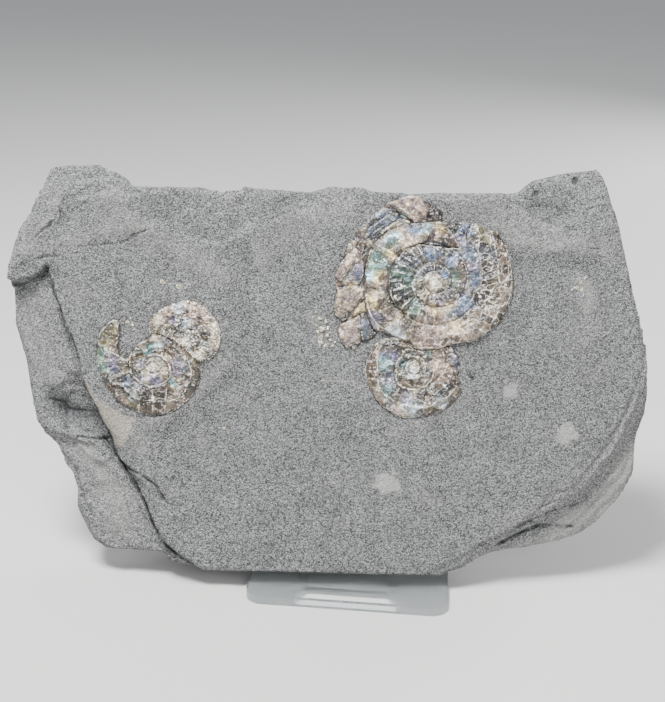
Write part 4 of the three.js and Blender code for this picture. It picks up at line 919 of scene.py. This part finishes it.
class SlabLook(PropertyGroup):
    face_colour: FloatVectorProperty(
        name="Face", description="Colour of the flat face", default=(0.262, 0.267, 0.264), **COLOUR,
    )
    broken_colour: FloatVectorProperty(
        name="Broken edge", description="Colour of fresh breaks", default=(0.3, 0.305, 0.302), **COLOUR,
    )
    clay_colour: FloatVectorProperty(
        name="Clay", description="Colour of the tan skin of clay", default=(0.49, 0.445, 0.38), **COLOUR,
    )
    # Also the colour of the painted highlight on the swells
    crust_and_highlight_colour: FloatVectorProperty(
        name="Crust", description="Colour of pale crusts", default=(0.36, 0.355, 0.33), **COLOUR,
    )
    grain_scale: FloatProperty(name="Grain", description="Grains in a metre", default=3600, min=500)
    skin: FloatProperty(
        name="Skin", description="Coarsest mesh on the stone, in millimetres", default=1.2, min=0.8,
    )
    swell: FloatProperty(
        name="Swell", description="How uneven the face is, in millimetres", default=0.35, min=0,
    )
    rough: FloatProperty(
        name="Roughness", description="Lumps on broken stone, in millimetres", default=0.4, min=0,
    )
    back_step: FloatProperty(
        name="Back", description="Steps of the split back, in millimetres", default=1.5, min=0,
    )
    bed: FloatProperty(name="Bed", description="Steps on broken stone, in millimetres", default=1.2, min=0.2)


class ShellLook(PropertyGroup):
    # Also the colour of the painted highlights and glints on the shells
    crack_and_glint_colour: FloatVectorProperty(
        name="Crack", description="Calcite in the cracks", default=tone(245, 242, 230), **COLOUR,
    )
    play_of_colour: FloatProperty(
        name="Play of colour", description="Strength of the pearly colours", subtype="FACTOR", default=0.5,
        min=0, max=1,
    )
    roughness: FloatProperty(
        name="Roughness", description="Of the pearly skin", subtype="FACTOR", default=0.36, min=0, max=1,
    )
    crack_width: FloatProperty(name="Crack width", description="In millimetres", default=0.15, min=0.05)
    detail: FloatProperty(
        name="Detail", description="Size of a shell's faces, in millimetres", default=0.17, min=0.12,
    )
    relief: FloatProperty(
        name="Plate relief", description="How far plates stand apart, in millimetres", default=0.2, min=0,
    )


class StandLook(PropertyGroup):
    colour: FloatVectorProperty(
        name="Plastic", description="Tint of the clear plastic", default=(0.82, 0.87, 0.9), **COLOUR,
    )
    edge: FloatProperty(
        name="Edge", description="Polished edge", subtype="DISTANCE", unit="LENGTH", default=0.0003, min=0,
    )


class StageLook(PropertyGroup):
    floor_colour: FloatVectorProperty(
        name="Floor", description="Colour of the floor", default=tone(188, 188, 186), **COLOUR,
    )
    key_power: FloatProperty(
        name="Key light", description="Soft light from above", subtype="POWER", default=19, min=0,
    )
    fill_power: FloatProperty(
        name="Fill light", description="Soft light from in front", subtype="POWER", default=5, min=0,
    )
    back_power: FloatProperty(
        name="Back light", description="Soft light from behind", subtype="POWER", default=9, min=0,
    )
    air: FloatProperty(name="Room light", description="Light from all round", default=0.64, min=0)


# The slab. Its unevenness is given by height and size in millimetres, octaves and seed.
SMALL_SWELLS = (0.13, 6, 3, 1)
SMALL_LUMPS = (0.24, 3.2, 3, 3)
WAVY_BEDS = (0.8, 14, 3, 8)
LONG_BEDS = (0.55, np.array((34, 34, 1.5)), 3, 4)
SHORT_BEDS = (0.3, np.array((9, 9, 0.8)), 2, 5)
TERRACES = (2.4, 34, 3, 20)
RAGGED_TERRACES = (0.3, 5, 2, 22)
BACK_LUMPS = (0.5, 9, 4, 23)
WAVERING_CRACKS = (0.35, 4, 2, 6)
PATCHY_CRUSTS = (0.5, 2, 2, 7)
RAGGED_CLAY = (1, 3, 3, 9)

POCKET_DEPTH = 2.6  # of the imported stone's pockets
SPLIT_EDGE = 112  # where the slab's top edge begins, above which the face isn't made flat
FRONT_DEPTH = 9.5  # how far back the broken front goes
MARK_DEPTH = 9  # how far back cracks and spots go
FOOT_SLOPE = 0.36  # of the stand's plate, as seen from the leaning slab
SWELL_SHARE = 1.3  # how much of a swell's height in the table is given
MARK_SHARES = (0.7, 1.4)  # how strongly cracks and swells darken or lighten the stone with painted shade and highlight
CRUST_HEIGHT = 0.12
SPECK_DEPTH = 0.6


def even_skin(node, voxel):
    """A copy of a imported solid, in millimetres on the slab's face, with points spread evenly over it"""
    solid = bmesh.new()
    solid.from_mesh(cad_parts[node].data)
    bmesh.ops.remove_doubles(solid, verts=solid.verts, dist=TINY)
    solid.transform(TO_FACE)
    mesh = bpy.data.meshes.new("blank")
    solid.to_mesh(mesh)
    solid.free()
    blank = bpy.data.objects.new("blank", mesh)
    bpy.context.scene.collection.objects.link(blank)
    skin = blank.modifiers.new("Even skin", "REMESH")
    skin.mode, skin.voxel_size = "VOXEL", voxel
    bm = bmesh.new()
    bm.from_object(blank, bpy.context.evaluated_depsgraph_get())
    bpy.data.objects.remove(blank)
    bpy.data.meshes.remove(mesh)
    return bm


def places(bm):
    """The points of a mesh, as rows"""
    return np.array([v.co for v in bm.verts])


def move(bm, points):
    """Puts the points of a mesh at new places"""
    for vert, point in zip(bm.verts, points):
        vert.co = point


def broken_share(points, facing):
    """Where the stone's front is broken and not the flat face of the bed: nought to one"""
    return np.maximum(smooth(-0.25, -0.7, points[:, 2]), smooth(0.99, 0.97, facing))


def fill_pockets(bm):
    """Closes the stone's pockets up to just under the shells that lie in them"""
    points = places(bm)
    inside = shell_cover(points)
    pocket = np.max([cover(points, name) for name in SHELLS], axis=0)
    near_face = points[:, 2] > -POCKET_DEPTH
    bedded = near_face & (inside > -0.1)
    rim = near_face & (pocket > -1.5) & ~bedded & (points[:, 1] < SPLIT_EDGE)
    points[bedded, 2] = BEDDED
    points[rim, 2] = 0
    move(bm, points)


def refine(bm):
    """Splits the faces of the slab's front where it has fine detail, and again along its cracks"""
    for crack_reach, busy in ((2.4, True), (0.9, False)):
        bm.normal_update()
        points, facing = places(bm), np.array([v.normal.z for v in bm.verts])
        front = (facing > 0.15) & (points[:, 2] > -FRONT_DEPTH)
        wanted = np.zeros(len(points), bool)
        for *_, line in LINES:
            wanted |= nearness(points, line) < crack_reach
        for _, x, y, reach in SPOTS:
            wanted |= np.hypot(points[:, 0] - x, points[:, 1] - y) < reach * 1.5
        if busy:
            wanted |= np.abs(shell_cover(points)) < 1.2
            wanted |= broken_share(points, facing) > 0.3
            wanted |= nearness(points, TAN_PATCH + TAN_PATCH[:1]) < 1.5
        wanted &= front
        bm.verts.ensure_lookup_table()
        chosen = {e for face in bm.faces if all(wanted[v.index] for v in face.verts) for e in face.edges}
        bmesh.ops.subdivide_edges(bm, edges=list(chosen), cuts=1, use_grid_fill=True)


def stone_shift(points, facing, rough_share, look):
    """How far the front and sides move out: swells of the flat face, lumps and ledges of its breaks"""
    side = smooth(0.75, 0.45, np.abs(facing))
    swell = look.swell * fractal(points, 34, 3) + relief(points, *SMALL_SWELLS)
    lumps = look.rough * fractal(points, 16, 3, 2) + relief(points, *SMALL_LUMPS)
    level = (points[:, 2] + relief(points, *WAVY_BEDS)) / look.bed
    part = level - np.floor(level)
    lumps += look.bed * 0.8 * (smooth(0.3, 0.7, part) - part) * smooth(0.2, 0.6, facing)
    beds = relief(points, *LONG_BEDS) + relief(points, *SHORT_BEDS)
    return swell * (1 - rough_share) + (lumps * (1 - 0.4 * side) + beds * side) * rough_share


def back_shift(points, facing, look):
    """How far the split back moves out in steps, and not at all where the fins touch it"""
    terrace = relief(points, *TERRACES) + relief(points, *RAGGED_TERRACES)
    part = terrace - np.floor(terrace)
    step = look.back_step * (np.floor(terrace) + smooth(0.4, 0.55, part)) + relief(points, *BACK_LUMPS)
    on_fin = np.max([smooth(7, 4, np.abs(points[:, 0] - x)) for x in FIN_PLACES], axis=0)
    on_fin *= smooth(FIN_TOP + 10, FIN_TOP, points[:, 1])
    return step * smooth(-0.6, -0.9, facing) * (1 - on_fin)


def marked(points, on_front, bare):
    """Cuts the cracks and raises the swells and crusts. Gives back how much paler each point is, darker below
    nought: painted shade in cracks, hollows and pits, painted highlight on swells, and pale crusts."""
    shade = np.zeros(len(points))
    waver = relief(points, *WAVERING_CRACKS)
    # Each crack is cut as a groove and darkened with painted shade
    for width, depth, dark, line in LINES:
        away = nearness(points, line)
        cut = bell(np.maximum(away + waver * (away < 3), 0), width) * on_front
        points[:, 2] -= cut * depth
        shade -= cut * dark * MARK_SHARES[0]
    # Swells get painted highlight and hollows painted shade, partly the stone's own paler and darker patches
    for width, rise, paleness, line in SWELLS:
        band = bell(nearness(points, line), width) * on_front * bare
        points[:, 2] += SWELL_SHARE * band * rise
        shade += band * paleness * MARK_SHARES[1]
    patchy = 1 + relief(points, *PATCHY_CRUSTS)
    for change, x, y, reach in SPOTS:
        away = np.hypot(points[:, 0] - x, points[:, 1] - y) / reach
        spot = smooth(1.15, 0.7, away * patchy) * on_front
        points[:, 2] += spot * (CRUST_HEIGHT if change > 0 else -SPECK_DEPTH)
        shade += spot * change
    return shade


def carve(bm, look):
    """Moves the stone's skin, and stores what its material needs"""
    bm.normal_update()
    points, normals = places(bm), np.array([v.normal for v in bm.verts])
    facing = normals[:, 2]
    front = smooth(0.2, 0.6, facing)
    rough_share = np.maximum(broken_share(points, facing) * front, 1 - front)
    bare = 1 - smooth(-1.2, 0.2, shell_cover(points)) * (points[:, 2] > -3)
    foot = smooth(3, 1, points[:, 1] - FOOT_SLOPE * points[:, 2])

    shift = stone_shift(points, facing, rough_share, look) + back_shift(points, facing, look)
    shift *= bare * (1 - 0.8 * foot)
    points = points + normals * shift[:, None]
    on_front = (facing > 0.1) & (points[:, 2] > -MARK_DEPTH)
    shade = marked(points, on_front, bare)
    tan = smooth(-0.4, 0.5, inside_by(points, TAN_PATCH) + relief(points, *RAGGED_CLAY))
    tan *= 0.95 * on_front * (points[:, 2] > -2.5)
    move(bm, points)
    give(bm, shade=np.clip(shade, -1, 1), tan=tan, broken=np.clip(rough_share, 0, 1))


class AMMONITES_OT_carve_slab(Operator):
    """Makes the mudstone slab, with its broken edges, cracks and beds"""

    bl_idname = "ammonites.carve_slab"
    bl_label = "Slab of mudstone"

    def execute(self, context):
        look = context.scene.slab_look
        bm = even_skin("mudstone_slab", look.skin)
        fill_pockets(bm)
        refine(bm)
        carve(bm, look)
        bmesh.ops.dissolve_degenerate(bm, edges=bm.edges, dist=0.02)
        finished(bm, "slab_stone", mudstone(look), "mudstone_slab")
        return {"FINISHED"}


# The shells. Their unevenness is given in the same way.
RAGGED_EDGE = (0.16, 1.7, 2, 23)
WAVY_EDGE = (0.12, 5, 2, 24)
BROKEN_LINES = (0.6, 1.3, 2, 33)
CRACKED_PATCHES = (0.45, 3, 2, 17)
UNEVEN_RIBS = (1.1, 1.6, 2, 13)
BENT_RIBS = (0.8, 2.4, 2, 12)

# Where on the face there are shells, across and up, and how closely it is searched for them
SHELLS_ACROSS = (-90, 70)
SHELLS_UP = (40, 125)
SEARCH_STEP = 0.8
LAP = 0.2  # how far a shell reaches past the edge of one that lies on it


def sunk_under(points, heights, covering):
    """Lowers a shell where others lie on it"""
    for name in covering:
        depth = cover(points, name) + LAP
        heights = np.minimum(heights, np.where(depth > 0, 0.45 - 1.2 * depth, 99))
    return np.maximum(heights, -0.5)


def tinted(points, name, plate_chance, second_chance):
    """The colour of each point of a shell, which changes from plate to plate"""
    moved = points[:, :2] + 1.2 * np.stack([plate_chance - 0.5, second_chance - 0.5], axis=1)
    base_share = smooth(0.25, 0.75, plate_chance)[:, None]
    total = np.full(len(points), 0.12)
    colour = (np.array(BROWN) * (1 - base_share) + np.array(TAN) * base_share) * total[:, None]
    for tint, x, y, reach in SHEEN[name]:
        weight = bell(np.hypot(moved[:, 0] - x, moved[:, 1] - y), reach)
        colour += weight[:, None] * np.array(tint)
        total += weight
    return colour / total[:, None] * (0.22 + 1.3 * second_chance)[:, None]


def close_below(bm):
    """Gives an open skin a wall down into the stone and a flat back"""
    rim = [e for e in bm.edges if e.is_boundary]
    lower = bmesh.ops.extrude_edge_only(bm, edges=rim)["geom"]
    for vert in (g for g in lower if isinstance(g, bmesh.types.BMVert)):
        vert.co.z = SHELL_ROOT
    bmesh.ops.holes_fill(bm, edges=[e for e in bm.edges if e.is_boundary], sides=0)
    bmesh.ops.triangulate(bm, faces=[f for f in bm.faces if len(f.verts) > 4])
    bmesh.ops.recalc_face_normals(bm, faces=bm.faces)


def largest_part(bm):
    """Deletes all but the part of a mesh with the most points"""
    left, best = set(bm.verts), set()
    while left:
        front = [left.pop()]
        part = set(front)
        while front:
            near = {edge.other_vert(vert) for vert in front for edge in vert.link_edges} & left
            left -= near
            part |= near
            front = list(near)
        best = max(best, part, key=len)
    bmesh.ops.delete(bm, geom=[v for v in bm.verts if v not in best], context="VERTS")


def cut_sheet(reach, spacing):
    """A flat sheet of small even faces, cut along the line where reach falls to nought"""
    across, up = np.arange(*SHELLS_ACROSS, SEARCH_STEP), np.arange(*SHELLS_UP, SEARCH_STEP)
    rough = np.array([(x, y, 0) for x in across for y in up])
    rough = rough[reach(rough) > -0.6, :2]
    low, size = rough.min(axis=0) - 1, np.ptp(rough, axis=0) + 2
    bm = bmesh.new()
    count = np.ceil(size / spacing)
    bmesh.ops.create_grid(bm, x_segments=int(count[0]), y_segments=int(count[1]), size=0.5)
    points = places(bm)
    points[:, :2] = low + (points[:, :2] + 0.5) * size
    move(bm, points)
    outside = [vert for vert, inside in zip(bm.verts, reach(points)) if inside <= 0]
    while outside:
        bmesh.ops.delete(bm, geom=outside, context="VERTS")
        outside = [v for v in bm.verts if not v.link_faces or sum(e.is_boundary for e in v.link_edges) > 2]
    largest_part(bm)
    rim = [v for v in bm.verts if v.is_boundary]
    spots = np.array([v.co for v in rim])
    here = reach(spots)
    step = 0.05
    slope = np.stack([reach(spots + (step, 0, 0)) - here, reach(spots + (0, step, 0)) - here], axis=1) / step
    shift = slope * (here / np.maximum((slope**2).sum(axis=1), 0.5))[:, None]
    shift = np.clip(shift, -spacing / 2, spacing / 2)
    for vert, (x, y) in zip(rim, shift):
        vert.co.xy -= Vector((x, y))
    return bm


def drawn_lines(points, name):
    """The cracks, seams and gaps drawn on a shell: how pale, how much darker and how high they are. The
    darkness is painted shadow in the gaps, and some pale lines are painted highlight on rims.
    """
    pale, dark, rise = (np.zeros(len(points)) for _ in range(3))
    broken = np.clip(0.95 + relief(points, *BROKEN_LINES), 0.3, 1.25)
    moved = points.copy()
    moved[:, :2] += 0.16 * sideways(points, 1.4, 31)
    for width, paleness, height, line in DRAWN[name]:
        near = bell(nearness(moved, line), 0.68 * width)
        rise += near * height
        if paleness > 0:
            pale = np.maximum(pale, 0.85 * near * paleness * broken)
        else:
            # Painted shadow in the gaps
            dark = np.maximum(dark, -near * paleness)
    return pale, dark, rise


def worn(points):
    """Worn shell: how mottled it is, and where its fine veins run"""
    return fractal(points, 1.1, 2, 43), bell(fractal(points, 1.2, 2, 41), 0.11)


def coil_marks(points, name, look):
    """What is at each point of a coiled shell: its place on the coil, plates, cracks, ribs and wear"""
    coil, at = COILS[name], SimpleNamespace()
    at.quarter, at.across, at.width, length = spiral_places(points, name)
    at.wide = smooth(0.8, 2.4, at.width)
    turn = at.quarter / 4
    angle = coil["start"] + coil["turn"] * at.quarter * QUARTER

    strip = np.stack([length, at.across * at.width, 9.7 * np.floor(turn)], axis=1) / coil["plate"]
    strip[:, :2] += 0.14 * sideways(points, 1.8, 15)
    at.gap, at.chance, at.second, at.tilt = cells(strip, coil["seed"])
    eighth = (angle / (QUARTER / 2)) % 8
    cracked = np.interp(eighth, range(9), [*coil["cracked"], coil["cracked"][0]])
    cracked = np.clip(np.where(turn < 1, cracked, 0.35) + relief(points, *CRACKED_PATCHES), 0, 1)
    at.crack = smooth(1.5, 0.6, at.gap * coil["plate"] / look.crack_width) * at.wide * cracked

    at.rib = np.interp(at.quarter, *zip(*coil["ribbed"]))
    bend = coil["bend"] * at.across + relief(points, *BENT_RIBS)
    at.wave = 0.5 + 0.5 * np.cos(coil["ribs"] * angle + bend)
    at.uneven = np.clip(0.7 + relief(points, *UNEVEN_RIBS), 0, 1.3)
    at.fade = np.sin(np.pi * at.across) ** np.where((turn < 1) & (at.across > 0.5), 0.65, 0.3)
    growth_places = np.stack([length * 2.2, at.across * at.width * 0.35, turn * 9], axis=1)
    at.growth = fractal(growth_places, 1.1, 2, 14)
    at.crumb = fractal(points, 0.5, 2, 19) * coil["rugged"]
    at.lumps = fractal(points, 2.6, 3, coil["seed"])
    at.mottle, at.vein = worn(points)
    return at


def coil_heights(points, at, coil, look):
    """How high a coiled shell is: its whorls swell between their seams, with ribs, growth lines and plates"""
    swell = coil["height"] * np.clip(0.45 + 0.55 * at.width / (max(coil["radii"]) * 0.3), 0, 1)
    laps = [smooth(-1, 1, cover(points, other)) for other in coil["over"]]
    seam_quarter = at.quarter + 4 * (1 - at.across)
    seam = coil["height"] * np.interp(seam_quarter, *SEAM_HEIGHTS)
    seam += 0.9 * np.max(laps or [np.zeros(len(points))], axis=0) * smooth(4, 0, seam_quarter)
    height = seam + (swell - seam) * at.fade + coil["rib_height"] * at.rib * at.wave**2 * at.fade * at.uneven
    height += at.fade * at.wide * look.relief * ((2 * at.chance - 1) + 3.2 * at.tilt * coil["plate"])
    height += at.fade * (0.05 * at.crack + (0.36 * at.lumps + 0.16 * at.mottle) * at.wide + 0.06 * at.growth)
    return height + 0.1 * at.crumb + 0.1 * at.vein


def coil_lights(points, at, coil, pale, dark):
    """How light a coiled shell is, and how white its cracks, seams, rib crests, glints and middle are. Its
    lightness holds painted shade between ribs, beside seams and in hollows and gaps, and painted light on
    lumps; the crests and glints are painted highlights.
    """
    # Painted highlight on rib crests and painted shade between ribs
    light = coil["light"] + at.rib * (1.1 * at.wave - 0.85) * at.fade
    # Mottling and growth lines, with painted light on lumps and painted shade in hollows and in drawn gaps
    light *= np.exp(0.6 * at.growth + 0.4 * at.crumb + 0.6 * at.mottle + 0.6 * at.lumps) * (1 - 0.9 * dark)
    light *= 1.3 - 0.42 * smooth(0.04, 0.4, at.gap) * at.wide
    from_seam = np.minimum(at.across, 1 - at.across) * at.width
    # Painted shadow beside each seam
    light *= 1 - 0.45 * bell(from_seam - 0.4, 0.25) * smooth(0.6, 1.6, at.width)
    seam_line = bell(from_seam, 0.16) * at.uneven
    # Painted highlights: white rib crests and glints
    crest = smooth(0.88, 1, at.wave) * at.rib * at.fade * at.uneven
    glint = smooth(0.35, 0.8, 0.5 * at.crumb + 0.7 * at.mottle + 0.4 * at.lumps)
    white = [pale, 0.62 * at.crack, 0.62 * seam_line, 0.85 * crest, 0.2 * at.vein * at.uneven, 0.95 * glint]
    from_middle = np.hypot(*(points[:, :2] - coil["centre"]).T)
    middle = smooth(0.14, 0.05, from_middle / coil["radii"][0]) * np.clip(0.4 + 1.6 * at.crumb, 0, 1.4)
    return light, np.maximum(np.maximum.reduce(white) * (1 - dark), 0.5 * middle)


def coiled_shell(name, look):
    """One coiled shell: a crushed spiral of plates and ribs"""
    coil = COILS[name]
    bm = cut_sheet(lambda points: shell_reach(points, name), look.detail)
    points = places(bm)
    at = coil_marks(points, name, look)
    pale, dark, rise = drawn_lines(points, name)
    height = coil_heights(points, at, coil, look) + 0.8 * rise
    height = np.where(shell_reach(points, name) < 0.5, np.maximum(height, 0.12), height)
    light, white = coil_lights(points, at, coil, pale, dark)
    # The tint takes in the painted light and shade of coil_lights
    tint = tinted(points, name, at.chance, at.second) * light[:, None]
    points[:, 2] = sunk_under(points, height, coil["under"])
    return skinned(bm, points, tint, white)


def skinned(bm, points, tint, white):
    """Ends a shell: moves its skin, stores its colours and closes it below"""
    move(bm, points)
    # tint holds painted light and shade, and crack also holds painted highlights and glints
    give(bm, tint=tint, crack=np.clip(white, 0, 1))
    close_below(bm)
    return bm


class AMMONITES_OT_coil_shells(Operator):
    """Makes the four coiled ammonites"""

    bl_idname = "ammonites.coil_shells"
    bl_label = "Coiled ammonites"

    def execute(self, context):
        look = context.scene.shell_look
        for name in COILS:
            bm = coiled_shell(name, look)
            finished(bm, name.replace("ammonite", "shell"), pearly_shell(look), name)
        return {"FINISHED"}


def crushed_shell(look):
    """The flattened whorl that the large ammonite lies on: broken pieces on a bed of small ones, with painted
    shade round the pieces and in its hollows and cracks, and painted light on its lumps
    """
    name, whorl = "ammonite_crushed", CRUSHED_WHORL

    def left_of_it(points):
        return np.minimum(shell_reach(points, name), HIDDEN_REACH - cover(points, "ammonite_large"))

    bm = cut_sheet(left_of_it, look.detail)
    points = places(bm)
    warped = points.copy()
    warped[:, :2] += 0.3 * sideways(points, 2, 25)
    gap, chance, second, tilt = cells(warped / whorl["plate"], whorl["seed"])
    crumb = fractal(points, 0.55, 2, 19)
    lumps = fractal(points, 2.6, 3, 11)
    pale, dark, rise = drawn_lines(points, name)
    crack = smooth(1.5, 0.6, gap * whorl["plate"] / look.crack_width)
    height = smooth(0, 1.2, shell_reach(points, name)) * (0.3 + 0.25 * chance + 0.4 * tilt)
    height += 0.15 + 0.25 * lumps - 0.1 * crack
    tint = tinted(points, name, chance, second)
    for top, colour, outline in CHUNKS:
        inside = inside_by(warped, outline)
        raised = top * (smooth(-0.1, 0.9, inside) ** 0.5) + 0.3 * tilt + 0.25 * lumps
        on_it = smooth(-0.05, 0.1, inside)
        height = height * (1 - on_it) + np.maximum(raised, height) * on_it
        own = np.array(colour) * (0.75 + 0.5 * second)[:, None]
        tint = tint + (own - tint) * 0.55 * on_it[:, None]
        # Painted shadow round the foot of each piece, and a paler band just inside its edge
        dark = np.maximum(dark, 0.9 * bell(inside + 0.12, 0.2))
        pale = np.maximum(pale, 0.6 * bell(inside - 0.35, 0.2) * smooth(-0.2, 0.6, crumb + 0.2))
    height += 0.8 * rise + 0.12 * crumb
    points[:, 2] = sunk_under(points, height, whorl["under"])
    mottle, vein = worn(points)
    # Mottling, with painted light on lumps and painted shade in hollows, drawn gaps, round pieces and in
    # cracks
    light = 1.3 * np.exp(0.6 * crumb + 0.85 * mottle + 1.1 * lumps) * (1.25 - 0.4 * smooth(0.04, 0.4, gap))
    light *= (1 - 0.85 * dark) * (1 - 0.5 * crack)
    return skinned(bm, points, tint * light[:, None], np.maximum(pale, 0.3 * vein) * (1 - dark))


class AMMONITES_OT_crush_whorl(Operator):
    """Makes the crushed whorl under the large ammonite"""

    bl_idname = "ammonites.crush_whorl"
    bl_label = "Crushed whorl"

    def execute(self, context):
        look = context.scene.shell_look
        finished(crushed_shell(look), "shell_crushed", pearly_shell(look), "ammonite_crushed")
        return {"FINISHED"}


FLAKE_SHAPE = (1.1, 0.75, 0.2)
FLAKE_TURN = 2.4  # from one flake to the next, so that no two lie alike
FLAKE_SEED = 5  # noise vectors have offsets by chance, which this makes the same in each run


class AMMONITES_OT_scatter_fragments(Operator):
    """Makes the loose bits of shell that are stuck to the slab's face"""

    bl_idname = "ammonites.scatter_fragments"
    bl_label = "Bits of shell"

    def execute(self, context):
        look = context.scene.shell_look
        noise.seed_set(FLAKE_SEED)
        bm = bmesh.new()
        for number, (x, y, size) in enumerate(FRAGMENTS):
            turn = Matrix.Rotation(number * FLAKE_TURN, 4, "Z")
            place = Matrix.Translation((x, y, 0.1)) @ turn @ Matrix.Diagonal((*FLAKE_SHAPE, 1))
            made = bmesh.ops.create_icosphere(bm, subdivisions=3, radius=size, matrix=place)["verts"]
            for vert in made:
                away = noise.noise_vector(vert.co * 1.1 + Vector((number, 0, 0)))
                away += 0.5 * noise.noise_vector(vert.co * 4 + Vector((number, 5, 0)))
                vert.co += Vector((away.x, away.y, 0.3 * away.z)) * size * 0.6
        crumb = fractal(places(bm), 0.5, 2, 19)
        give(bm, tint=np.outer(0.85 * np.exp(crumb), CREAM), crack=np.clip(0.25 + 0.8 * crumb, 0, 1))
        finished(bm, "shell_fragments", pearly_shell(look))
        return {"FINISHED"}


class AMMONITES_OT_mould_stand(Operator):
    """Makes the clear stand, with polished edges"""

    bl_idname = "ammonites.mould_stand"
    bl_label = "Clear stand"

    def execute(self, context):
        look = context.scene.stand_look
        bm = bmesh.new()
        bm.from_mesh(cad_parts["display_stand"].data)
        bmesh.ops.remove_doubles(bm, verts=bm.verts, dist=TINY)
        bmesh.ops.dissolve_limit(bm, angle_limit=0.02, verts=bm.verts, edges=bm.edges)
        sharp = [e for e in bm.edges if e.calc_face_angle(0) > math.radians(30)]
        bmesh.ops.bevel(
            bm, geom=sharp, offset=look.edge, segments=2, profile=0.5, affect="EDGES", material=-1,
            clamp_overlap=True,
        )
        bmesh.ops.triangulate(bm, faces=[f for f in bm.faces if len(f.verts) > 4])
        bm.transform(TO_FACE)
        stand = finished(bm, "stand_clear", clear_plastic(look), "display_stand")
        stand.data.polygons.foreach_set("use_smooth", [False] * len(stand.data.polygons))
        return {"FINISHED"}


# The stage. The camera looks square at the slab's face.
CAMERA_AIM = FROM_FACE @ Vector((0, 67.89, 0))
CAMERA_REACH = 0.38
CAMERA_ROLL = math.radians(1.5)
CAMERA_LENS = 64.66
# The soft lights: place and width in metres
LIGHTS = {
    "key": ((-0.22, -0.16, 0.78), 0.25),
    "fill": ((0.35, -0.75, 0.35), 0.6),
    "back": ((0.65, 0.6, 0.3), 0.35),
}


def soft_light(name, place, size, power):
    """A square soft light that shines at the slab"""
    lamp = bpy.data.lights.new(name, "AREA")
    lamp.shape, lamp.size, lamp.energy = "SQUARE", size, power
    light = bpy.data.objects.new(name, lamp)
    light.location = place
    light.rotation_euler = (CAMERA_AIM - Vector(place)).to_track_quat("-Z", "Y").to_euler()
    bpy.context.scene.collection.objects.link(light)


class AMMONITES_OT_set_stage(Operator):
    """Makes the floor, the lights and the camera"""

    bl_idname = "ammonites.set_stage"
    bl_label = "Stage"

    def execute(self, context):
        look, scene = context.scene.stage_look, context.scene
        bm = bmesh.new()
        bmesh.ops.create_grid(bm, x_segments=8, y_segments=8, size=8)
        mesh = bpy.data.meshes.new("floor")
        bm.to_mesh(mesh)
        bm.free()
        mesh.materials.append(floor_paper(look))
        floor = bpy.data.objects.new("floor", mesh)
        scene.collection.objects.link(floor)

        world = bpy.data.worlds.new("Room")
        world.use_nodes = True
        air = world.node_tree.nodes["Background"]
        air.inputs["Color"].default_value = (0.93, 0.95, 1, 1)
        air.inputs["Strength"].default_value = look.air
        scene.world = world
        for name, (place, size) in LIGHTS.items():
            soft_light(name, place, size, getattr(look, name + "_power"))

        lens = bpy.data.cameras.new("camera")
        lens.lens, lens.sensor_width, lens.sensor_fit = CAMERA_LENS, 36, "AUTO"
        lens.clip_start = 0.01
        camera = bpy.data.objects.new("camera", lens)
        camera.location = CAMERA_AIM + CAMERA_REACH * OUT_OF_FACE
        view = (-OUT_OF_FACE).to_track_quat("-Z", "Y").to_matrix() @ Matrix.Rotation(CAMERA_ROLL, 3, "Z")
        camera.rotation_euler = view.to_euler()
        scene.collection.objects.link(camera)
        scene.camera = camera
        return {"FINISHED"}


STEPS = (
    AMMONITES_OT_carve_slab,
    AMMONITES_OT_coil_shells,
    AMMONITES_OT_crush_whorl,
    AMMONITES_OT_scatter_fragments,
    AMMONITES_OT_mould_stand,
    AMMONITES_OT_set_stage,
)
LOOKS = {"slab_look": SlabLook, "shell_look": ShellLook, "stand_look": StandLook, "stage_look": StageLook}


class AMMONITES_PT_pieces(Panel):
    """Lists the pieces and their looks"""

    bl_label = "Ammonite Slab"
    bl_space_type = "VIEW_3D"
    bl_region_type = "UI"
    bl_category = "Ammonites"

    def draw(self, context):
        for step in STEPS:
            self.layout.operator(step.bl_idname)
        for name, group in LOOKS.items():
            box = self.layout.box()
            for prop in group.__annotations__:
                box.prop(getattr(context.scene, name), prop)


CLASSES = (*LOOKS.values(), *STEPS, AMMONITES_PT_pieces)


def register():
    for cls in CLASSES:
        bpy.utils.register_class(cls)
    for name, group in LOOKS.items():
        setattr(bpy.types.Scene, name, PointerProperty(type=group))


def unregister():
    for name in LOOKS:
        delattr(bpy.types.Scene, name)
    for cls in reversed(CLASSES):
        bpy.utils.unregister_class(cls)


def main():
    register()
    for step in STEPS:
        family, action = step.bl_idname.split(".")
        getattr(getattr(bpy.ops, family), action)()


if __name__ == "__main__":
    main()
